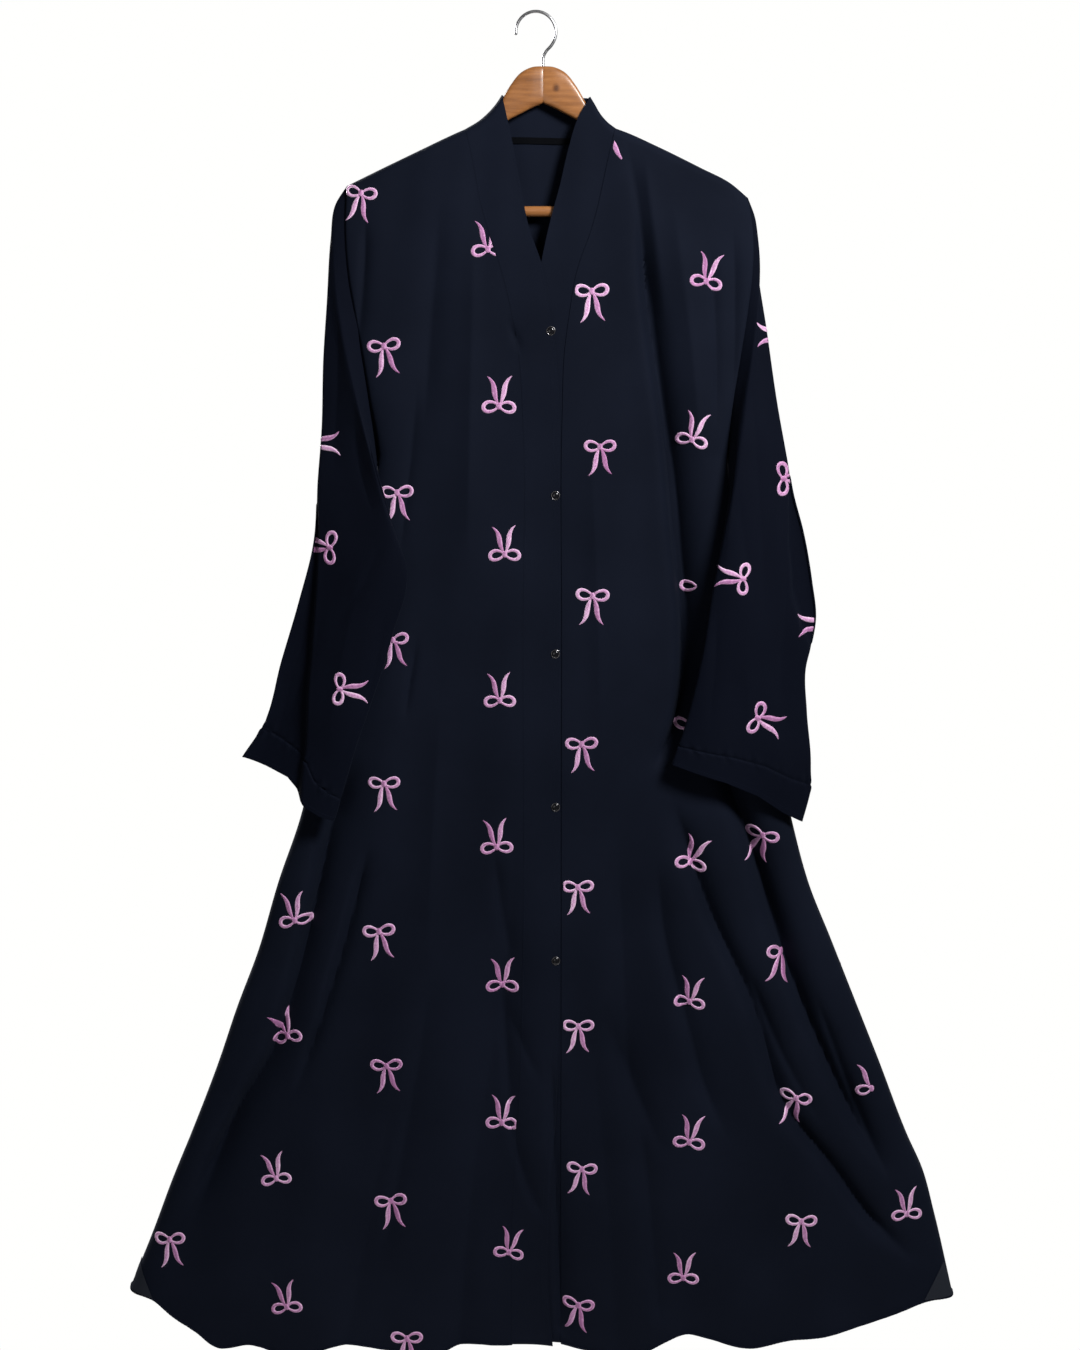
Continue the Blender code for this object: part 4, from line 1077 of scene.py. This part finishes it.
def satin():
    """Lilac satin stitch: threads across each ribbon, with a painted highlight that makes it lighter along its
    edges, each bow a little its own.
    """
    coat = Coat("thread", (0.68, 0.33, 0.60), 0.38, specular=0.5)
    flat = coat.place("UV")
    across = coat.node("ShaderNodeSeparateXYZ", {"Vector": flat})
    # Painted highlight: the colour lightens from the ribbon's middle to its edges.
    edge = coat.sum(across.outputs["Y"], 1 / 0.003, "MULTIPLY")
    edge = coat.node("ShaderNodeMath", {0: edge}, operation="ABSOLUTE").outputs[0]
    threads = coat.node("ShaderNodeTexWave", {
        "Vector": coat.place("UV", turn=(0, 0, math.radians(14))), "Scale": 900.0, "Distortion": 2.0,
        "Detail": 2.0,
    }, bands_direction="X").outputs["Fac"]
    patchy = coat.noise(coat.place("Object"), 420.0, 2.0)
    # Each bow's random tone plus the painted sheen of each of its parts.
    tone_and_sheen = coat.node("ShaderNodeAttribute", attribute_name="tone_and_sheen").outputs["Fac"]
    light = coat.sum(coat.span(edge, 0.0, 1.0, 0.18, 0.72), coat.span(threads, 0.0, 1.0, -0.10, 0.10))
    light = coat.sum(light, coat.span(patchy, 0.3, 0.7, -0.16, 0.16))
    light = coat.sum(light, tone_and_sheen)
    coat.set("Base Color", coat.ramp(light, (
        (0.0, (0.40, 0.14, 0.34)), (0.35, (0.66, 0.31, 0.58)), (0.7, (0.87, 0.54, 0.80)),
        (1.0, (0.97, 0.76, 0.93)),
    )))
    coat.set("Sheen Weight", 0.15)
    coat.set("Normal", coat.bump(threads, 0.00012, 0.7))
    return coat.made


def wood(name, turn, knot=(0.3, 0, 0.3)):
    """Lacquered brown wood: faint streaks and short pores along the piece, and one dark knot at its place."""
    coat = Coat(name, (0.46, 0.20, 0.07), 0.36, specular=0.5)
    streak = coat.noise(coat.place("Object", (8.0, 110.0, 110.0), turn), 2.4, 4.0, 0.55, 0.3)
    broad = coat.noise(coat.place("Object", (3.0, 26.0, 26.0), turn), 2.0, 2.0)
    pores = coat.noise(coat.place("Object", (60.0, 900.0, 900.0), turn), 3.0, 2.0)
    both = coat.sum(coat.span(broad, 0.3, 0.7, 0.1, 0.45), coat.span(streak, 0.3, 0.7, 0.05, 0.45))
    both = coat.sum(both, coat.span(pores, 0.58, 0.75, 0.0, -0.22))
    away = coat.node("ShaderNodeVectorMath", {0: coat.place("Object"), 1: knot}, operation="DISTANCE")
    both = coat.sum(both, coat.span(away.outputs["Value"], 0.0015, 0.0055, -0.6, 0.0))
    coat.set("Base Color", coat.ramp(both, (
        (0.0, (0.09, 0.030, 0.009)), (0.35, (0.25, 0.095, 0.027)), (0.7, (0.37, 0.150, 0.045)),
        (1.0, (0.47, 0.22, 0.08)),
    )))
    coat.set("Roughness", coat.span(pores, 0.4, 0.8, 0.30, 0.5))
    coat.set("Coat Weight", 0.25)
    coat.set("Coat Roughness", 0.2)
    coat.set("Normal", coat.bump(coat.sum(streak, pores), 0.0001, 0.3))
    return coat.made


def plated():
    """Bright plated steel with faint drawing marks."""
    coat = Coat("hook_metal", (0.6, 0.6, 0.61), 0.24, 1.0)
    marks = coat.noise(coat.place("Object", (1, 1, 14)), 160.0, 3.0)
    coat.set("Roughness", coat.span(marks, 0.3, 0.7, 0.20, 0.32))
    coat.set("Base Color", coat.ramp(marks, ((0.3, (0.50, 0.50, 0.52)), (0.8, (0.68, 0.68, 0.69)))))
    return coat.made


def snap_dome():
    """Gunmetal black enamel of a snap's cap."""
    coat = Coat("snap_metal", (0.004, 0.004, 0.006), 0.16, 0.0, 0.6)
    marks = coat.noise(coat.place("Object"), 900.0, 2.0)
    coat.set("Roughness", coat.span(marks, 0.3, 0.7, 0.10, 0.18))
    return coat.made


def snap_rim():
    """Worn nickel round the edge of a snap."""
    coat = Coat("snap_rim", (0.24, 0.23, 0.24), 0.22, 1.0)
    marks = coat.noise(coat.place("Object"), 1200.0, 3.0)
    coat.set("Base Color", coat.ramp(marks, ((0.35, (0.14, 0.13, 0.14)), (0.65, (0.36, 0.35, 0.36)))))
    coat.set("Roughness", coat.span(marks, 0.3, 0.7, 0.16, 0.34))
    return coat.made


def floor_paint():
    """Matt white, a little cloudy."""
    coat = Coat("floor", (0.86, 0.86, 0.85), 0.7, specular=0.2)
    cloudy = coat.noise(coat.place("Object"), 2.0, 3.0)
    coat.set("Base Color", coat.ramp(cloudy, ((0.3, (0.84, 0.84, 0.83)), (0.7, (0.88, 0.88, 0.87)))))
    return coat.made


CREPE = crepe()
# The sleeves' crepe: the same cloth at half its lightness and a little bluer, painted shade for sleeves that
# hang in less light.
CREPE_SLEEVE_PAINTED_SHADE = crepe("crepe_sleeve_painted_shade", 0.5, (-0.0002, 0, 0.0016))
# The neck tape's crepe at 0.12 of the cloth's lightness: a tape painted near black with the shade under the
# collar seam.
CREPE_TAPE_PAINTED_SHADE = crepe("crepe_tape_painted_shade", 0.12)
CREPE_WRONG_SIDE = crepe("crepe_wrong_side", 1.0, (0.017, 0.018, 0.019))
SEWING = crepe("sewing_thread", 1.7)
SATIN = satin()


# The garment

def declare(nodes):
    """Hides the CAD parts of these cloth pieces."""
    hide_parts(*nodes)


def hem_bead(grid, seed):
    """A narrow rolled hem along a panel's last row: a bead 2.2 mm thick that wanders a little."""
    edge = grid[-1]
    length = np.r_[0, np.cumsum(np.linalg.norm(np.diff(edge, axis=0), axis=1))]
    at = np.linspace(0, length[-1], int(length[-1] / 2.2))
    path = np.stack([np.interp(at, length, edge[:, k]) for k in range(3)], axis=1)
    rng = np.random.default_rng(seed)
    wander = np.interp(at, length[::2], rng.uniform(-1, 1, len(length[::2])))
    return tube(path, 1.15 + 0.18 * wander + 0.1 * np.sin(at * 1.4))


def bead_piece(name, grid, seed):
    """A panel's rolled hem as a piece of crepe."""
    points, faces = hem_bead(grid, seed)
    uv = np.stack([points[:, 0], points[:, 2]], axis=1)
    piece = add(name, [(points, faces, uv, 0)], [CREPE])
    return piece


def patch_piece(name, face, corners, coat, lift=0.5, count=16):
    """A small flat patch on a height field: a thin wall over its four corners, lift mm off the cloth."""
    corners = np.asarray(corners, float)
    t = np.linspace(0, 1, count)
    upper = corners[0] + t[:, None] * (corners[1] - corners[0])
    lower = corners[3] + t[:, None] * (corners[2] - corners[3])
    flat = upper[None] + t[:, None, None] * (lower - upper)[None]
    points, normals = on_face(face, flat[..., 0], flat[..., 1])
    points = points + (lift + PATCH_CLOTH) * normals
    if face[1] * np.cross(corners[1] - corners[0], corners[3] - corners[0]) > 0:
        points = points[:, ::-1]
    piece = add(name, [shell(points, PATCH_CLOTH)], [coat])
    return piece


def stitch_piece(name, rows):
    """Joins rows of stitches into one piece."""
    parts = [(points, faces, np.stack([points[:, 0], points[:, 2]], axis=1), 0) for points, faces in rows]
    piece = add(name, parts, [SEWING])
    return piece


GRIDS = {
    "front_left": front_grid(FRONT_LEFT_FACE, ARMHOLE_LEFT, SIDE_LEFT, SHOULDER_LEFT, BAND_SEAM_LEFT,
                             HEM_LEFT, 1.0),
    "front_right": front_grid(FRONT_RIGHT_FACE, ARMHOLE_RIGHT, SIDE_RIGHT, SHOULDER_RIGHT, BAND_SEAM_RIGHT,
                              HEM_RIGHT, -1.0)[:, ::-1],
    "back": back_grid()[:, ::-1],
    "band_left": band_grid(BAND_LEFT_FACE, BAND_SEAM_LEFT, BAND_FREE_LEFT, COLLAR_FOLD_LEFT),
    "band_right": band_grid(BAND_RIGHT_FACE, BAND_SEAM_RIGHT, BAND_FREE_RIGHT, COLLAR_FOLD_RIGHT)[:, ::-1],
    "collar_back": collar_grid()[:, ::-1],
}
SLEEVE_GRIDS = {side: sleeve_grid(side) for side in ("left", "right")}

LEFT_SEAM_X = column_of(BAND_SEAM_LEFT, 0)
RIGHT_SEAM_X = column_of(BAND_SEAM_RIGHT, 0)


def left_bow_limit(z):
    """Where bows on the left front stop: at the band's seam, and past it near the hem."""
    return LEFT_SEAM_X(z) + 16 * soft_step((-1320 - z) / 60)


OUTLINE_LEFT = panel_outline(LEFT_EDGE_X, left_bow_limit, HEM_LEFT)
OUTLINE_RIGHT = panel_outline(RIGHT_EDGE_X, RIGHT_SEAM_X, HEM_RIGHT)
OUTLINE_BACK = panel_outline(LEFT_EDGE_X, RIGHT_EDGE_X, BACK_HEM)


def panel(name, thickness, with_pieces=()):
    """A flat-cut panel as a thin shell, its CAD part hidden. with_pieces, what is sewn on it, is not used."""
    made = add(name + "_cloth", [shell(GRIDS[name], thickness)], [CREPE])
    declare([name])


def sleeve(side, cut, cuff_cut):
    """A sleeve and its cuff, with bows and a row of stitches at the cuff."""
    sleeve_part, cuff_part = SLEEVE_GRIDS[side]
    bows = bows_on_sleeve(f"bows_sleeve_{side}", side, sleeve_part)
    rows = stitch_piece(f"stitches_cuff_{side}", [
        ring_stitches(cuff_part, 2), ring_stitches(cuff_part, CUFF_ROWS - 4),
    ])
    for part, name, thickness, size, extra in (
        (sleeve_part, f"sleeve_{side}", PANEL_CLOTH, cut, [bows]),
        (cuff_part, f"cuff_{side}", CUFF_CLOTH, cuff_cut, [rows]),
    ):
        grid = part[0] if side == "left" else part[0][:, ::-1]
        # Sleeve and cuff in the crepe darkened with painted shade.
        made = add(name + "_cloth", [shell(grid, thickness, True)], [CREPE_SLEEVE_PAINTED_SHADE])
        declare([name])


panel("front_left", PANEL_CLOTH, [
    bows_on_panel("bows_front_left", FRONT_LEFT_FACE, BOWS_FRONT_LEFT, OUTLINE_LEFT, 3),
    bead_piece("hem_front_left", GRIDS["front_left"], 41),
    patch_piece("corner_left", FRONT_LEFT_FACE, ((-484, -1468), (-483, -1466), (-466, -1505), (-494, -1499)),
                CREPE_WRONG_SIDE),
])
panel("front_right", PANEL_CLOTH, [
    bows_on_panel("bows_front_right", FRONT_RIGHT_FACE, BOWS_FRONT_RIGHT, OUTLINE_RIGHT, 4),
    bead_piece("hem_front_right", GRIDS["front_right"], 42),
    patch_piece("corner_right", FRONT_RIGHT_FACE, ((494, -1466), (496, -1464), (509, -1507), (472, -1508)),
                CREPE_WRONG_SIDE),
])
panel("back", PANEL_CLOTH, [
    bows_on_panel("bows_back", BACK_FACE, back_lattice(), OUTLINE_BACK, 5),
    bead_piece("hem_back", GRIDS["back"], 43),
    # Tape inside the back neck, painted near black with the shade under the collar seam.
    patch_piece("neck_tape", BACK_INSIDE, ((-54, -132), (66, -134), (66, -141), (-54, -139)), CREPE_TAPE_PAINTED_SHADE),
])
panel("band_left", BAND_CLOTH, [
    stitch_piece("stitches_band_left", [
        stitch_line(BAND_LEFT_FACE, BAND_FREE_LEFT, -2.2),
        stitch_line(BAND_LEFT_FACE, BAND_FREE_LEFT, -8.0, 0.2),
        stitch_line(BAND_LEFT_FACE, BAND_SEAM_LEFT, 1.6),
    ]),
])
panel("band_right", BAND_CLOTH, [
    stitch_piece("stitches_band_right", [stitch_line(BAND_RIGHT_FACE, BAND_SEAM_RIGHT, -1.6)]),
])
panel("collar_back", BAND_CLOTH)
sleeve("left", (0.24, 0.66, 0.13), (0.24, 0.045, 0.0105))
sleeve("right", (0.28, 0.68, 0.125), (0.30, 0.05, 0.0125))


# Snaps

SNAP_PROFILE = (
    (5.0, 0.0), (5.15, 0.25), (5.1, 0.7), (4.85, 1.0), (4.5, 1.05), (4.25, 0.85), (4.15, 0.75), (4.1, 1.0),
    (3.8, 1.5), (3.2, 1.95), (2.4, 2.25), (1.5, 2.42), (0.6, 2.5), (0.02, 2.5),
)
RIM_ROWS = 6
SNAP_SIDES = 48


def snap(number, x, z, dome, rim):
    """A turned cap on the left band: a rolled rim and a dome, from rows of (radius, height)."""
    profile = np.array(SNAP_PROFILE)
    angle = np.linspace(0, 2 * math.pi, SNAP_SIDES, endpoint=False)
    face = float(BAND_LEFT_FACE[0](np.array(x), np.array(z)))
    points = np.stack([
        x + profile[:, :1] * np.cos(angle),
        np.broadcast_to(face - profile[:, 1:], (len(profile), SNAP_SIDES)),
        z - profile[:, :1] * np.sin(angle),
    ], axis=-1).reshape(-1, 3)
    index = np.arange(len(points)).reshape(len(profile), SNAP_SIDES)
    index = np.concatenate([index, index[:, :1]], axis=1)
    rings = quads_of(index, False)
    split = RIM_ROWS * SNAP_SIDES
    ends = [index[:1, :-1], index[-1:, :-1][:, ::-1]]
    empty = np.zeros((0, 3))
    piece = add(f"snap_{number}", [
        (points, [rings[:split], ends[0]], None, 1),
        (empty, [rings[split:] - len(points), ends[1] - len(points)], None, 0),
    ], [dome, rim])
    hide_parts(f"button_{number}")


DOME, RIM = snap_dome(), snap_rim()
for number, (x, z) in enumerate(BUTTON_PLACES, 1):
    snap(number, x, z, DOME, RIM)


# Hanger

ARM_KNOT = (0.0225, -0.006, -0.081)


def fine_arm(side):
    """Half of the hanger: sections |y / a| ** 3.6 + |z / b| ** 3.6 = 1 on a smooth run of the arm's table."""
    table = np.asarray(ARM_SECTIONS, float)
    middle = smooth_path(table[:10], np.linspace(0, 1, 90))
    outer = np.concatenate([middle, table[10:]])
    joint = np.clip((outer[:, 0] - outer[0, 0]) / 0.7, 0, 1)
    power = 2 / 3.6
    angle = np.linspace(0, 2 * math.pi, 40, endpoint=False)
    y = np.sign(np.cos(angle)) * np.abs(np.cos(angle)) ** power
    z = np.sign(np.sin(angle)) * np.abs(np.sin(angle)) ** power
    half_z = (outer[:, 1] - outer[:, 2]) / 2 - 0.35 * (1 - joint)
    half_y = outer[:, 3] - 0.35 * (1 - joint)
    points = np.stack(np.broadcast_arrays(
        (CENTRE_X + side * outer[:, 0])[:, None], half_y[:, None] * y[None],
        ((outer[:, 1] + outer[:, 2]) / 2)[:, None] + half_z[:, None] * z[None],
    ), axis=-1)
    points = points if side < 0 else points[:, ::-1]
    index = np.arange(points.shape[0] * 40).reshape(-1, 40)
    index = np.concatenate([index, index[:, :1]], axis=1)
    name = "hanger_arm_left" if side < 0 else "hanger_arm_right"
    faces = [quads_of(index, False), index[:1, :-1], index[-1:, :-1][:, ::-1]]
    coat = wood(name + "_wood", (0, math.radians(side * -35), 0), ARM_KNOT)
    piece = add(name + "_wood", [(points.reshape(-1, 3), faces, None, 0)], [coat])
    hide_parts(name)


def fine_bar():
    """The round trouser bar."""
    path = np.linspace((CENTRE_X - BAR_HALF_LENGTH, 0, BAR_Z), (CENTRE_X + BAR_HALF_LENGTH, 0, BAR_Z), 30)
    points, faces = tube(path, BAR_RADIUS, 40)
    piece = add("hanger_bar_wood", [(points, faces, None, 0)], [wood("hanger_bar_wood", (0, 0, 0))])
    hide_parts("hanger_bar")


def fine_hook():
    """The hook's wire: an arc from its rounded tip over the top and down, then an S into the wood."""
    rise = HOOK_WIRE / 2
    turn = np.radians(np.linspace(188, -48, 60))
    arc = np.stack([HOOK_RADIUS * np.cos(turn), rise - HOOK_RADIUS + HOOK_RADIUS * np.sin(turn)], axis=1)
    neck = np.array([(10.5, -42.5), (8.4, -47.0), (8.0, -51.0), (8.0, -57.6)])
    flat = smooth_path(np.concatenate([arc[::4], neck]), np.linspace(0, 1, 150))
    path = np.stack([flat[:, 0], np.zeros(150), flat[:, 1]], axis=1)
    far = np.arange(150) * 1.1
    radius = HOOK_WIRE / 2 * np.sqrt(1 - (1 - np.clip(far / 1.75, 0.03, 1)) ** 2)
    points, faces = tube(path, radius, 18)
    piece = add("hanger_hook_wire", [(points, faces, None, 0)], [plated()])
    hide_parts("hanger_hook")


fine_arm(-1)
fine_arm(1)
fine_bar()
fine_hook()


# Stage, light and camera

FLOOR_Z = -2.0
FLOOR_HALF = 0.72
CAMERA_PLACE = (0.00467, -2.126, -0.42588)
CAMERA_PITCH = 8.5
CAMERA_LENS = 48.96
WORLD_FRONT = 0.09
WORLD_BEHIND = 0.8


def stage_floor():
    """A plain square floor below the garment."""
    mesh = bpy.data.meshes.new("floor")
    corners = [(a * FLOOR_HALF, b * FLOOR_HALF, FLOOR_Z) for a, b in ((-1, -1), (1, -1), (1, 1), (-1, 1))]
    mesh.from_pydata(corners, [], [(0, 1, 2, 3)])
    mesh.materials.append(floor_paint())
    floor = bpy.data.objects.new("floor", mesh)
    bpy.context.scene.collection.objects.link(floor)


def area_light(name, place, size, watts, aim=(0, 0, -0.75)):
    """A round lamp turned towards its aim."""
    light = bpy.data.lights.new(name, "AREA")
    light.shape = "DISK"
    light.size = size
    light.energy = watts
    thing = bpy.data.objects.new(name, light)
    thing.location = place
    direction = np.array(aim) - np.array(place)
    flat = math.hypot(direction[0], direction[1])
    thing.rotation_euler = (math.atan2(flat, -direction[2]), 0, math.atan2(-direction[0], direction[1]))
    bpy.context.scene.collection.objects.link(thing)


def pale_world():
    """A white surround: full white to the eye; as a light, dim in front of the garment and bright behind."""
    world = bpy.data.worlds.new("surround")
    bpy.context.scene.world = world
    world.use_nodes = True
    tree = world.node_tree
    surround = tree.nodes["Background"]
    surround.inputs["Color"].default_value = (1.0, 1.0, 0.99, 1)
    direction = tree.nodes.new("ShaderNodeTexCoord")
    parts = tree.nodes.new("ShaderNodeSeparateXYZ")
    tree.links.new(direction.outputs["Generated"], parts.inputs["Vector"])
    light = tree.nodes.new("ShaderNodeMapRange")
    tree.links.new(parts.outputs["Y"], light.inputs["Value"])
    limits = (("From Min", 0.15), ("From Max", 0.9), ("To Min", WORLD_FRONT), ("To Max", WORLD_BEHIND))
    for name, value in limits:
        light.inputs[name].default_value = value
    path = tree.nodes.new("ShaderNodeLightPath")
    strength = tree.nodes.new("ShaderNodeMapRange")
    tree.links.new(path.outputs["Is Camera Ray"], strength.inputs["Value"])
    tree.links.new(light.outputs["Result"], strength.inputs["To Min"])
    strength.inputs["To Max"].default_value = 1.0
    tree.links.new(strength.outputs["Result"], surround.inputs["Strength"])


def camera():
    """The photo's view: CAMERA_PITCH degrees down from level."""
    data = bpy.data.cameras.new("camera")
    data.lens = CAMERA_LENS
    data.clip_start = 0.01
    thing = bpy.data.objects.new("camera", data)
    thing.location = CAMERA_PLACE
    thing.rotation_euler = (math.radians(90 - CAMERA_PITCH), 0, 0)
    bpy.context.scene.collection.objects.link(thing)
    bpy.context.scene.camera = thing


stage_floor()
area_light("key", (0.98, -1.45, 0.6), 0.6, 54, (0, 0, -0.45))
area_light("fill", (-1.2, -2.6, -0.6), 1.6, 6)
area_light("rear", (-1.5, 1.7, 0.6), 0.8, 60, (0, 0, -0.6))
pale_world()
camera()
bpy.context.scene.view_settings.view_transform = "Standard"
